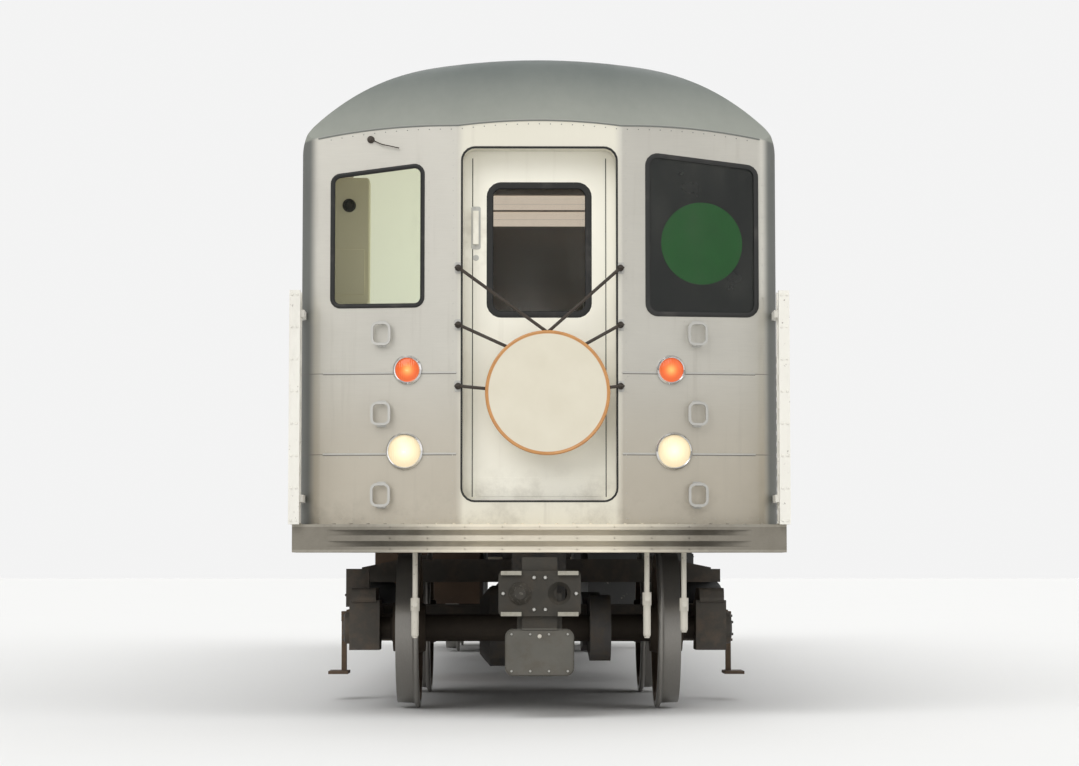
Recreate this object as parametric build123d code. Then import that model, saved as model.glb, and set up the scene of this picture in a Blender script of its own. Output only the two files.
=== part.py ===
from build123d import *
import math
import os

# Sizes in millimetres. Heights named "over_rail" are above the rail top,
# which lies one flange depth above the lowest point of the wheels.
# X runs across the car, Y along it with the front at -Y, Z up.

# Car body
length_over_anticlimbers = 15560
face_setback = 120            # end face behind the anticlimber's nose
body_width = 2608
door_header = 60              # doorway top to the walls' top
roof_rise = 592               # walls' top to the roof's top
skirt_drop = 187              # floor to the walls' lower edge
skin = 12                     # outer sheet of the side walls
lining = 14                   # inner panel of the side walls
crown_radius = 3800
crown_half = 480              # half the width of the crown's arc
shoulder_radius = 260
roof_thickness = 45
rib_height = 6
rib_width = 34
gutter_out = 16
gutter_root = 10              # inside the roof's edge
gutter_height = 24
gutter_lift = 4               # above the walls' top

# Ends
face_flat = 900               # width of the flat middle of the end face
face_sweep = 8                # degrees that the side panels lean back
corner_radius = 130
mask_thickness = 35
mask_return = 260             # depth of the mask's corners from the end face
bonnet_length = 600           # end face to the start of the straight roof
bonnet_slope = 50             # degrees
bonnet_drop = 412             # roof's top to the bonnet's lip
bonnet_round = 260            # radius between the slope and the roof
bonnet_lap = 3                # bonnet's top over the roof's, where the two meet
anticlimber_overhang = 26     # anticlimber beyond the body's sides
anticlimber_height = 150
deck_drop = 127               # floor to the anticlimber's top
anticlimber_taper = 80        # how far its ends stand back
nose_flat = 1800
tooth_depth = 45
tooth_count = 3

# Side doors
doorway_width = 1270
doorway_height = 1833
doorway_from_nose = 2750      # anticlimber's nose to the middle of an outer doorway
leaf_thickness = 32
leaf_clearance = 6
leaf_hidden = 20              # part of a closed leaf that stays in its pocket
leaf_travel = 620
leaf_lap = 12                 # leaf above the doorway's top
pocket_spare = 20             # pocket beyond an open leaf
leaf_window_width = 400
leaf_window_height = 850
leaf_window_drop = 110        # doorway top to the glass
leaf_window_radius = 60
nose_gap = 0.6                # between two closed leaves
seat_gap = 0.3                # between a runner and its track

# Side windows
window_head = 170             # walls' top to the windows' top
window_height = 800
window_radius = 90
window_post = 50
window_mullion = 80           # between the two windows of a section
narrow_window = 860
cab_side_window = 600
end_side_window = 900
glass_thickness = 6
glass_recess = 14
side_sign_height = 360
side_sign_depth = 36

# Flutes of the lower side panels
flute_pitch = 62
flute_relief = 7
flute_base = 3
flute_margin = 60             # below the windows

# End door and its opening
door_opening_width = 840
door_opening_rise = 30        # its top above the walls' top
door_opening_radius = 70
end_door_overlap = 10
end_door_thickness = 40
end_door_recess = 145
door_glass_width = 528
door_glass_height = 699
door_glass_head = 194         # opening's top to the glass
door_glass_radius = 56
door_gasket_proud = 3         # rubber round the door's glass, which has to pass the portal
door_glass_setback = 17
portal_wall = 30
handle_x = -347
handle_width = 30
handle_reach = 26
handle_bar = 10
handle_over_floor = 1408
handle_height = 184

# Cab window and route sign: inner edges from the car's middle, outer margins from
# the body's side, levels down from the bonnet's lip
cab_window_inner = 635
cab_window_margin = 174
cab_window_bottom = 1012
cab_window_top_inner = 241
cab_window_top_outer = 297
cab_window_radius = 45
sign_inner = 586
sign_margin = 114
sign_bottom = 1060
sign_top_inner = 180
sign_top_outer = 244
sign_radius = 58
sign_depth = 24
route_disc_x = 888
route_disc_drop = 667
route_disc_radius = 225
route_disc_thickness = 3

# Lamps, steps and hooks of the end face, heights over the deck of the anticlimber
headlamp_x = 730
headlamp_over_deck = 397
headlamp_radius = 90
tail_lamp_x = 715
tail_lamp_over_deck = 838
tail_lamp_radius = 68
bezel_width = 14
bezel_proud = 22
bezel_lap = 2                 # bezel over the lens's edge
bezel_bevel = 3
lens_edge = 8                 # straight rim of a lens below its dome
lens_rise = 0.18              # dome height as a share of its radius
step_x = 855
step_heights_over_deck = [160, 600, 1035]
step_width = 95
step_height = 115
step_rod = 14
step_standoff = 38
step_bend = 30                # bend radius of a step's bar
hook_foot_radius = 18
hook_foot = 12                # thickness of a hook's foot
hook_eye_radius = 16
hook_eye_rod = 5
hook_x = 440
hook_reach = 26               # strap's middle ahead of the end face
hook_heights_over_deck = [747, 1080, 1390]

# Headboard disc
headboard_x = 44
headboard_over_deck = 710
headboard_radius = 338
headboard_thickness = 12
headboard_rim = 16            # thickness of the rolled edge
strap_radius = 9
strap_tuck = 10               # meeting points inside the board's edge and below its middle
strap_rise = 150              # middle strap above the board's middle

# Pantograph gates
gate_out = 14                 # gate's middle outside the body's side
gate_width = 58
gate_bar = 30
gate_ahead = 20               # gate's middle ahead of the end face
gate_reach = 150              # folded lattice, along the car
gate_height = 1260
gate_cells = 7
gate_play = 4                 # between the crossed bars and the gate's faces
lattice_bar = 21
lattice_pin_radius = 9
gate_bracket = 40
gate_bracket_inset = 45       # gate's middle to the bracket's inner edge
gate_brackets_from_deck = [140, 1140]

# Pipes below the anticlimber
pipe_setback = 150            # behind the anticlimber's nose
pipe_radius = 14
cock_radius = 24
cock_height = 70
pipe_head_radius = 20

# Wheelsets
track_gauge_back = 1353       # between the backs of the wheels
wheel_radius = 432
wheel_width = 130
flange_depth = 28
flange_tip = 13
flange_root = 9
tread_fall = 3
rim_depth = 60
rim_lip = 8
disc_thickness = 32
disc_at_rim = 46              # back of the wheel's disc from the back of the rim
disc_at_hub = 24
hub_radius = 135
hub_flare = 15
hub_overhang = 28
axle_radius = 78
axle_collar = 10
axle_shoulder = 45            # rim's face to the journal
journal_radius = 65
journal_end = 1062
bore_gap = 0.4

# Bogies
wheelbase = 2083
bogie_from_nose = 2293.5
side_frame_inner = 930
side_frame_outer = 1070
side_frame_rise = 130         # its top above the axles, between the axle boxes
side_frame_drop = 160
side_frame_ramp = 261.5       # length of its rise towards the axle boxes
side_frame_hump = 100         # its top over the axle boxes above its middle
side_frame_nose = 160         # beyond the axle
side_frame_corner = 28
side_frame_chamfer = 80
side_frame_undercut = 30
side_frame_step = 20
web_recess = 24               # hollows of the side frame's outer face
web_rim = 30
web_post = 80
axle_box_half = 125
axle_box_below = 125          # under the axle's middle
axle_box_above = 160
axle_box_lap = 20             # inside the side frame
axle_box_lip = 14             # outside it
axle_cap_radius = 92
axle_cap_depth = 24
transom_y = 240
transom_width = 120
transom_height = 140
transom_lift = 10             # above the side frame's lower edge
spring_radius = 150
spring_waist = 30
spring_height = 130
bolster_height = 140
bolster_tip = 90              # its height at the ends
bolster_taper = 240
bolster_width = 320
centre_plate_radius = 210
centre_plate_height = 70
anchor_rod_radius = 24
anchor_rod_out = 42           # outside the side frame
anchor_rod_reach = 640
brake_gap = 6
brake_shoe_width = 90
brake_shoe_depth = 44
brake_shoe_height = 240
brake_cylinder_radius = 72
brake_cylinder_length = 210
brake_cylinder_rise = 35
motor_radius = 235
motor_bell_radius = 165
motor_bell = 60
motor_from_axle = 421.5       # between the axle and the motor's shaft
motor_shift = -60
motor_length = 560
motor_arm_height = 70
motor_arm_rise = 10
gear_case_inner = 300
gear_case_width = 120
gear_case_radius = 190
pinion_case_radius = 150
shaft_cover_radius = 70
shoe_beam_length = 1560
shoe_beam_thickness = 55
shoe_beam_height = 100
shoe_arm_reach = 75
shoe_arm_width = 140
shoe_post = 30
shoe_width = 120
shoe_length = 260
shoe_thickness = 18
shoe_over_rail = 130

# Underframe
floor_sheet = 12
floor_plate = 60
sill_width = 104
packer_length = 360
body_bolster_depth = 235      # below the floor
body_bolster_width = 400
bearer_depth = 165            # below the floor
bearer_width = 80
bearer_places = [-3400, -2300, -1200, 0, 1200, 2300, 3400]
jack_pad = 160
jack_pad_drop = 15            # below the body bolster
jack_pad_inset = 30           # its middle inside the sill

# Couplers
coupler_face_ahead = 43       # ahead of the anticlimber's nose
coupler_over_rail = 640
coupler_pin_back = 650        # anticlimber's nose to the drawbar's pin
coupler_pin_radius = 28
coupler_head_width = 440
coupler_head_height = 240
coupler_head_depth = 150
coupler_face_plate = 24
coupler_corner = 26
coupler_guide = 22            # bars along the face's upper and lower edges
coupler_neck_width = 240
coupler_neck_height = 180
coupler_cone_x = 105
coupler_cone_radius = 62
coupler_cone_reach = 40
drawbar_width = 130
drawbar_height = 120
drawbar_eye_radius = 75
plug_box_width = 370
plug_box_height = 250
plug_box_depth = 190
plug_box_corner = 45
plug_box_setback = 34         # its face behind the coupler's
plug_box_top_over_rail = 450
plug_lid = 14
draft_plate = 40
draft_width = 300
draft_front = 110             # draft pocket ahead of the pin
draft_back = 140
draft_throat = 90

# Underfloor gear
case_gap = 20                 # inside the sill
case_inner = 380              # from the car's middle
case_corner = 40
case_door_proud = 14
case_door_margin = 46
case_door_top = 90            # below the bearers
case_hinge_radius = 10
grid_front = -3300
grid_back = -1500
grid_height = 440
grid_shelf = 30
grid_plate = 30
grid_plates = 19
tank_radius = 170
tank_dome = 60
tank_drop = 220               # its middle below the bearers
tank_strap_width = 60
tank_strap_lap = 20
compressor_drop = 240
compressor_x = 720
compressor_front = -700
compressor_back = 180
compressor_radius = 190

# Saloon
seat_pitch = 440
seat_depth = 440
seat_height = 430
seat_back_height = 820
seat_edge = 30                # seat's edge over and under its level
seat_gap_between = 12
bench_margin = 170            # doorway edge to bench end
pole_radius = 16
bar_radius = 13
rail_bar_rise = 7             # bar between the poles, over the walls' top
ceiling_thickness = 16
ceiling_back = 45             # ceiling's end behind the walls' end
light_inner = 830
light_outer = 975
light_depth = 24
light_taper = 15
partition = 24
cab_length = 1330             # end face to the cab's back wall
cab_wall_x = 460
cab_wall_setback = 9          # behind the end door
cab_door_width = 600
cab_door_height = 1880
cab_door_margin = 150
cab_door_gap = 5
cab_door_header = 60
pocket_wall_setback = 15
desk_depth = 330
desk_foot = 260
desk_knee = 760
desk_height = 900
desk_top = 200
desk_corner = 12
controller_radius = 45
controller_height = 90

# Derived levels and planes
rail = flange_depth
axle_z = rail + wheel_radius
side_frame_top = axle_z + side_frame_rise
bolster_bottom = side_frame_top + spring_height
bolster_top = bolster_bottom + bolster_height
body_bolster_bottom = bolster_top + centre_plate_height
floor_top = body_bolster_bottom + body_bolster_depth
bearer_bottom = floor_top - bearer_depth
half_length = length_over_anticlimbers / 2
face_y = face_setback - half_length
half_width = body_width / 2
anticlimber_width = body_width + 2 * anticlimber_overhang
gate_x = half_width + gate_out
half_flat = face_flat / 2
plate_top = floor_top - floor_sheet
plate_bottom = plate_top - floor_plate
doorway_top = floor_top + doorway_height
wall_top = doorway_top + door_header
roof_top = wall_top + roof_rise
lip = roof_top - bonnet_drop
skirt = floor_top - skirt_drop
deck = floor_top - deck_drop
pocket_outer = half_width - skin
pocket_inner = pocket_outer - leaf_thickness - 2 * leaf_clearance
wall_inner = pocket_inner - lining
sill_inner = wall_inner - sill_width
case_outer = sill_inner - case_gap
pocket_depth = leaf_hidden + leaf_travel + pocket_spare
leaf_top = doorway_top + leaf_lap
wall_end = -face_y - mask_return
roof_end = -face_y - bonnet_length
window_z = wall_top - window_head - window_height
door_front = face_y + end_door_recess
door_back = door_front + end_door_thickness
opening_top = wall_top + door_opening_rise
half_opening = door_opening_width / 2
sweep = math.radians(face_sweep)
doorway_pitch = half_length - doorway_from_nose
doorways = [-doorway_pitch, 0, doorway_pitch]
bogie_places = [bogie_from_nose - half_length, half_length - bogie_from_nose]
far = 20000


# Helpers: limits are (low, high) pairs; outlines are flat faces
def block(x, y, z):
    size = Box(x[1] - x[0], y[1] - y[0], z[1] - z[0])
    return Pos((x[0] + x[1]) / 2, (y[0] + y[1]) / 2, (z[0] + z[1]) / 2) * size


def outline(points, radius=0):
    face = make_face(Polyline(*points, close=True))
    if radius:
        face = fillet(face.vertices(), radius)
    return face


def along_x(shape, x):
    return Pos(x[0], 0, 0) * extrude(Plane.YZ * shape, amount=x[1] - x[0])


def along_y(shape, y):
    return Pos(0, y[1], 0) * extrude(Plane.XZ * shape, amount=y[1] - y[0])


def upward(shape, z):
    return Pos(0, 0, z[0]) * extrude(shape, amount=z[1] - z[0])


def rod(start, end, radius):
    line = Line(start, end)
    return extrude(Plane(origin=start, z_dir=line % 0) * Circle(radius), amount=line.length)


def turned(piece):
    return Rot(Z=180) * piece


def mirrored(piece):
    return mirror(piece, Plane.YZ)


def save(node, *pieces):
    solids = [solid for piece in pieces for solid in piece.solids()]
    export_step(Compound(solids), f"parts/{node}.step")


# A plane on the end face at x and height z, its normal pointing out of the car
def face_plane(x, z):
    side = math.copysign(1, x)
    lean = 0 if abs(x) <= half_flat else sweep
    back = max(0, abs(x) - half_flat) * math.tan(sweep)
    return Plane(
        origin=(x, face_y + back, z),
        x_dir=(math.cos(lean), side * math.sin(lean), 0),
        z_dir=(side * math.sin(lean), -math.cos(lean), 0),
    )


# Body section shrunk by inset, down to the height low: a crown arc, two flanks and two shoulders
def roof_outline(inset, low):
    half = half_width - inset
    crown_z = roof_top - crown_radius
    lean = math.asin(crown_half / crown_radius)
    joint_x = crown_half - half_width + shoulder_radius
    joint_z = crown_z + crown_radius * math.cos(lean) - wall_top
    along = joint_x * math.sin(lean) + joint_z * math.cos(lean)
    flank_radius = (joint_x**2 + joint_z**2 - shoulder_radius**2) / (2 * (along - shoulder_radius))
    flank_x = crown_half - flank_radius * math.sin(lean)
    flank_z = crown_z + (crown_radius - flank_radius) * math.cos(lean)
    turn = math.atan2(half_width - shoulder_radius - flank_x, wall_top - flank_z)

    def on_arc(x, z, radius, angle):
        return (x + (radius - inset) * math.sin(angle), z + (radius - inset) * math.cos(angle))

    crown_end = on_arc(0, crown_z, crown_radius, lean)
    flank_middle = on_arc(flank_x, flank_z, flank_radius, (lean + turn) / 2)
    flank_end = on_arc(flank_x, flank_z, flank_radius, turn)
    shoulder_turn = (turn + math.pi / 2) / 2
    shoulder_middle = on_arc(half_width - shoulder_radius, wall_top, shoulder_radius, shoulder_turn)
    corner = (half, wall_top)
    right = [
        Line((half, low), corner),
        ThreePointArc(corner, shoulder_middle, flank_end),
        ThreePointArc(flank_end, flank_middle, crown_end),
    ]
    edges = right + [mirror(edge, Plane.YZ) for edge in right]
    edges.append(ThreePointArc(crown_end, (0, roof_top - inset), (-crown_end[0], crown_end[1])))
    edges.append(Line((half, low), (-half, low)))
    return make_face(edges)


# Plan of the body's front end, shrunk by inset
def plan_outline(inset, back):
    flat = half_flat - inset * math.tan(sweep / 2)
    half = half_width - inset
    front = face_y + inset
    corner_y = face_y + inset / math.cos(sweep) + (half - half_flat) * math.tan(sweep)
    face = outline([(-flat, front), (flat, front), (half, corner_y),
                    (half, back), (-half, back), (-half, corner_y)])
    corners = [v for v in face.vertices() if abs(v.Y - corner_y) < 1]
    return fillet(corners, corner_radius - inset)


# Solid of the front end: body section and plan under a bonnet that is turned about the crown's axis
def end_solid(inset, low, back):
    slope = math.radians(bonnet_slope)
    arc = bonnet_round - inset
    centre_z = roof_top + bonnet_lap - bonnet_round
    centre_y = face_y + ((centre_z - lip) * math.cos(slope) + bonnet_round) / math.sin(slope)
    bend = (centre_y - arc * math.sin(slope), centre_z + arc * math.cos(slope))
    middle = (centre_y - arc * math.sin(slope / 2), centre_z + arc * math.cos(slope / 2))
    start_y = face_y - mask_return
    start_z = bend[1] - (bend[0] - start_y) * math.tan(slope)
    crown_z = roof_top - crown_radius
    end_y = back + mask_return
    profile = [
        Line((start_y, crown_z), (start_y, start_z)),
        Line((start_y, start_z), bend),
        ThreePointArc(bend, middle, (centre_y, centre_z + arc)),
        Line((centre_y, centre_z + arc), (end_y, centre_z + arc)),
        Line((end_y, centre_z + arc), (end_y, crown_z)),
        Line((end_y, crown_z), (start_y, crown_z)),
    ]
    bonnet = revolve(Plane.YZ * make_face(profile), Axis((0, 0, crown_z), (0, 1, 0)))
    body = upward(plan_outline(inset, back), (low, roof_top + mask_return))
    return body & along_y(roof_outline(inset, low), (start_y, end_y)) & bonnet


# Four-cornered opening of the end face with a sloping top, seen on its face plane
def slanted(inner, outer, bottom, top_inner, top_outer, radius, grow=0):
    width = (outer - inner) / math.cos(sweep)
    face = outline([(0, bottom), (width, bottom), (width, top_outer), (0, top_inner)], radius)
    if grow:
        face = offset(face, amount=grow)
    return face


def on_face(x, shape, low, high):
    return face_plane(x, lip) * (Pos(0, 0, low) * extrude(shape, amount=high - low))


os.makedirs("parts", exist_ok=True)

# Outlines shared by the end mask, its glass and its gaskets
cab_window = [-cab_window_inner, cab_window_margin - half_width, -cab_window_bottom, -cab_window_top_inner,
              -cab_window_top_outer, cab_window_radius]
sign_window = [sign_inner, half_width - sign_margin, -sign_bottom, -sign_top_inner,
               -sign_top_outer, sign_radius]
opening_z = (floor_top + opening_top) / 2
door_opening = Pos(0, opening_z) * RectangleRounded(
    door_opening_width, opening_top - floor_top, door_opening_radius)
portal_face = Pos(0, opening_z) * RectangleRounded(
    door_opening_width + 2 * portal_wall, opening_top - floor_top + 2 * portal_wall,
    door_opening_radius + portal_wall)


# End masks: a swept face with its door portal, cab window and sign opening
def end_mask():
    shell = end_solid(0, deck, -roof_end) - end_solid(mask_thickness, deck - 100, -roof_end + 100)
    shell -= block((-far, far), (-wall_end, far), (0, wall_top))
    portal_back = door_front - leaf_clearance - door_gasket_proud
    portal = along_y(portal_face, (face_y + 5, portal_back))
    portal -= block((-far, far), (-far, far), (0, floor_top))
    shell += portal
    shell -= along_y(door_opening, (face_y - 50, portal_back + 10))
    shell -= on_face(cab_window[0], slanted(*cab_window), -2 * mask_thickness, mask_thickness)
    shell -= on_face(sign_window[0], slanted(*sign_window), -2 * mask_thickness, mask_thickness)
    return shell


mask = end_mask()
save("end_mask_front", mask)
save("end_mask_rear", turned(mask))

# Anticlimbers: ribbed noses on which the masks stand
tooth = anticlimber_height / (2 * tooth_count - 1)
comb = [(-wall_end, deck - anticlimber_height)]
for step in range(tooth_count):
    low = deck - anticlimber_height + 2 * step * tooth
    comb += [(-half_length, low), (-half_length, low + tooth)]
    if step < tooth_count - 1:
        comb += [(-half_length + tooth_depth, low + tooth), (-half_length + tooth_depth, low + 2 * tooth)]
comb += [(-wall_end, deck)]
nose_plan = outline([
    (-nose_flat / 2, -half_length), (nose_flat / 2, -half_length),
    (anticlimber_width / 2, -half_length + anticlimber_taper), (anticlimber_width / 2, -wall_end),
    (-anticlimber_width / 2, -wall_end), (-anticlimber_width / 2, -half_length + anticlimber_taper)])
anticlimber = along_x(outline(comb), (-anticlimber_width / 2, anticlimber_width / 2))
anticlimber &= upward(nose_plan, (0, far))
save("anticlimbers", anticlimber, turned(anticlimber))



# Brake and air pipes below the anticlimber; columns: place across the car, heights of the end and of the cock
pipe_table = [(-670, 400, 580), (580, 400, 610), (780, 430, 580)]


def drop_pipe(x, end_over_rail, cock_over_rail):
    y = -half_length + pipe_setback
    top = deck - anticlimber_height
    end = rail + end_over_rail
    cock = rail + cock_over_rail
    piece = rod((x, y, end), (x, y, top), pipe_radius)
    piece += rod((x, y, end + pipe_head_radius), (x, y, cock), pipe_head_radius)
    piece += Pos(x, y, end + pipe_head_radius) * Sphere(pipe_head_radius)
    piece += rod((x, y, cock - cock_height / 2), (x, y, cock + cock_height / 2), cock_radius)
    return piece + rod((x, y, cock), (x, y - 2 * cock_radius, cock), pipe_radius)


pipes = [drop_pipe(*row) for row in pipe_table]
save("end_pipes", *pipes, *[turned(piece) for piece in pipes])

# Underframe: floor plate, sills, body bolsters, cross bearers and draft pockets
plate = plan_outline(mask_thickness + seat_gap, 0) & Rectangle(2 * wall_inner, far)
plate_solid = upward(plate, (plate_bottom, plate_top))
underframe = plate_solid + turned(plate_solid)
packer = upward(plate & Pos(0, face_y + packer_length / 2) * Rectangle(body_width, packer_length),
                (deck, plate_bottom))
underframe += packer + turned(packer)
for side in (-1, 1):
    underframe += block(sorted((side * wall_inner, side * sill_inner)), (-wall_end, wall_end),
                        (skirt, plate_bottom))
for place in bogie_places:
    underframe += block((-sill_inner, sill_inner),
                        (place - body_bolster_width / 2, place + body_bolster_width / 2),
                        (body_bolster_bottom, plate_bottom))
    for side in (-1, 1):
        pad = Box(jack_pad, jack_pad, plate_bottom - body_bolster_bottom + jack_pad_drop,
                  align=(Align.CENTER, Align.CENTER, Align.MAX))
        underframe += Pos(side * (sill_inner - jack_pad_inset), place, plate_bottom) * pad
for place in bearer_places:
    underframe += block((-sill_inner, sill_inner),
                        (place - bearer_width / 2, place + bearer_width / 2), (bearer_bottom, plate_bottom))
coupler_z = rail + coupler_over_rail
pin_y = coupler_pin_back - half_length
pocket_low = coupler_z - drawbar_height / 2 - seat_gap
pocket_high = coupler_z + drawbar_height / 2 + seat_gap
draft = block((-draft_width / 2, draft_width / 2), (pin_y - draft_front, pin_y + draft_back),
              (pocket_low - draft_plate, plate_bottom - seat_gap))
draft -= block((-far, far), (-far, pin_y + draft_throat), (pocket_low, pocket_high))
draft += Pos(0, pin_y, coupler_z) * Cylinder(coupler_pin_radius, pocket_high - pocket_low + draft_plate)
save("underframe", underframe, draft, turned(draft))


# Side walls with doorways, leaf pockets and windows; columns: middle along Y, width, cab side or not
zone_start = doorway_width / 2 + pocket_depth + window_post
zone_end = doorway_pitch - zone_start
wide_window = zone_end - zone_start - narrow_window - window_mullion
end_start = doorway_pitch + doorway_width / 2 + pocket_depth
end_middle = (end_start + wall_end) / 2
window_table = [
    (-end_middle, cab_side_window, False),
    (-zone_start - narrow_window / 2, narrow_window, True),
    (-zone_end + wide_window / 2, wide_window, False),
    (zone_start + wide_window / 2, wide_window, False),
    (zone_end - narrow_window / 2, narrow_window, True),
    (end_middle, end_side_window, False),
]


def window_face(width, grow=0):
    return RectangleRounded(width + 2 * grow, window_height + 2 * grow, window_radius + grow)


# The wall on the -X side, where the front cab is
def right_wall():
    wall = block((-half_width, -wall_inner), (-wall_end, wall_end), (skirt, wall_top))
    for place in doorways:
        slot = doorway_width / 2 + pocket_depth
        wall -= block((-pocket_outer, -pocket_inner), (place - slot, place + slot),
                      (floor_top, leaf_top + leaf_clearance))
        wall -= block((-far, 0), (place - doorway_width / 2, place + doorway_width / 2),
                      (floor_top, doorway_top))
    for middle, width, _ in window_table:
        hole = along_x(Pos(middle, window_z + window_height / 2) * window_face(width), (-far, 0))
        wall -= hole
    return wall


wall = right_wall()
save("side_wall_right", wall)
save("side_wall_left", turned(wall))

# Fluted skins on the lower side panels
flute_top = window_z - flute_margin
flute_count = int((flute_top - skirt) / flute_pitch)
flute = [(half_width, skirt)]
for step in range(flute_count):
    low = skirt + step * flute_pitch
    flute += [
        (half_width + flute_base, low),
        (half_width + flute_base, low + 0.3 * flute_pitch),
        (half_width + flute_relief, low + 0.45 * flute_pitch),
        (half_width + flute_relief, low + 0.85 * flute_pitch),
    ]
flute += [(half_width + flute_base, skirt + flute_count * flute_pitch),
          (half_width, skirt + flute_count * flute_pitch)]
flute_face = outline(flute)
door_edge = doorway_width / 2
flute_spans = [
    (-wall_end, -doorway_pitch - door_edge), (-doorway_pitch + door_edge, -door_edge),
    (door_edge, doorway_pitch - door_edge), (doorway_pitch + door_edge, wall_end)]
flutes = [along_y(flute_face, span) for span in flute_spans]
save("fluted_panels", *flutes, *[turned(piece) for piece in flutes])

# Window glass, gaskets and side signs of both walls
glass_x = -half_width + glass_recess
side_glass = []
side_signs = []
for middle, width, has_sign in window_table:
    place = Pos(middle, window_z + window_height / 2)
    pane = along_x(place * window_face(width, -seat_gap), (glass_x, glass_x + glass_thickness))
    if has_sign:
        sign_low = window_z + window_height - side_sign_height
        sign = along_x(place * window_face(width, -seat_gap), (glass_x, glass_x + side_sign_depth))
        side_signs.append(sign & block((-far, far), (-far, far), (sign_low, far)))
        pane &= block((-far, far), (-far, far), (0, sign_low - seat_gap))
    side_glass.append(pane)
save("side_glass", *side_glass, *[turned(pane) for pane in side_glass])

# End glass: cab window panes and route sign covers
cab_pane = on_face(cab_window[0], slanted(*cab_window, grow=-seat_gap), -glass_recess - glass_thickness,
                   -glass_recess)
sign_pane = on_face(sign_window[0], slanted(*sign_window, grow=-seat_gap), -glass_thickness, 0)
save("end_glass", cab_pane, sign_pane, turned(cab_pane), turned(sign_pane))

# Route signs: dark boxes behind their covers, each with one round disc
disc_front = -glass_thickness - 2
box_front = disc_front - route_disc_thickness
sign_box = on_face(sign_window[0], slanted(*sign_window, grow=-seat_gap), box_front - sign_depth, box_front)
disc = face_plane(route_disc_x, lip - route_disc_drop) * (
    Pos(0, 0, box_front + route_disc_thickness / 2) * Cylinder(route_disc_radius, route_disc_thickness))
signs = [sign_box, *side_signs]
save("sign_boxes", *signs, *[turned(sign) for sign in signs])
save("route_discs", disc, turned(disc))


# Lamps: a domed lens in a turned bezel
def lamp(x, over_deck, radius):
    plane = face_plane(x, deck + over_deck)
    ring_profile = outline([
        (radius - bezel_lap, 0), (radius + bezel_width, 0),
        (radius + bezel_width - bezel_bevel, bezel_proud * 0.6),
        (radius + bezel_bevel, bezel_proud), (radius - bezel_lap, bezel_proud * 0.8)])
    bezel = plane * revolve(Plane.XZ * ring_profile, Axis.Z)
    lens_radius = radius - bezel_lap - seat_gap
    cap = lens_rise * radius
    ball = (lens_radius**2 + cap**2) / (2 * cap)
    half_turn = math.asin(lens_radius / ball) / 2
    middle = (ball * math.sin(half_turn), lens_edge + cap - ball * (1 - math.cos(half_turn)))
    dome = [
        Line((0, 0), (lens_radius, 0)),
        Line((lens_radius, 0), (lens_radius, lens_edge)),
        ThreePointArc((lens_radius, lens_edge), middle, (0, lens_edge + cap)),
        Line((0, lens_edge + cap), (0, 0)),
    ]
    lens = plane * revolve(Plane.XZ * make_face(dome), Axis.Z)
    return bezel, lens


bezels = []
head_lenses = []
tail_lenses = []
for side in (-1, 1):
    bezel, lens = lamp(side * headlamp_x, headlamp_over_deck, headlamp_radius)
    bezels.append(bezel)
    head_lenses.append(lens)
    bezel, lens = lamp(side * tail_lamp_x, tail_lamp_over_deck, tail_lamp_radius)
    bezels.append(bezel)
    tail_lenses.append(lens)
save("lamp_bezels", *bezels, *[turned(piece) for piece in bezels])
save("headlamp_lenses", *head_lenses, *[turned(piece) for piece in head_lenses])
save("tail_lamp_lenses", *tail_lenses, *[turned(piece) for piece in tail_lenses])


# Step loops: a round bar bent to a rounded frame on two stubs
def step_loop(x, over_deck):
    frame = RectangleRounded(step_width + step_rod, step_height + step_rod, step_bend + step_rod / 2)
    frame -= RectangleRounded(step_width - step_rod, step_height - step_rod, step_bend - step_rod / 2)
    loop = Pos(0, 0, step_standoff - step_rod / 2) * extrude(frame, amount=step_rod)
    for height in (-1, 1):
        loop += Pos(0, height * step_height / 2, step_standoff / 2) * Cylinder(step_rod / 2, step_standoff)
    return face_plane(x, deck + over_deck) * loop


steps = [step_loop(side * step_x, height) for side in (-1, 1) for height in step_heights_over_deck]
save("step_loops", *steps, *[turned(step) for step in steps])


# Safety chain hooks and straps; the front pair of each height carries the headboard
def hook(side, over_deck):
    eye = Pos(0, 0, hook_reach) * Rot(X=90) * Torus(hook_eye_radius, hook_eye_rod)
    foot = Pos(0, 0, hook_foot / 2) * Cylinder(hook_foot_radius, hook_foot)
    return face_plane(side * hook_x, deck + over_deck) * (foot + eye)


eye_y = face_y - hook_reach
board_y = eye_y - strap_radius - seat_gap - headboard_rim / 2
board = Cylinder(headboard_radius - headboard_rim / 2, headboard_thickness)
board += Torus(headboard_radius - headboard_rim / 2, headboard_rim / 2)
save("headboard", Pos(headboard_x, board_y, deck + headboard_over_deck) * Rot(X=90) * board)
hooks = [hook(side, height) for side in (-1, 1) for height in hook_heights_over_deck]
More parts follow.
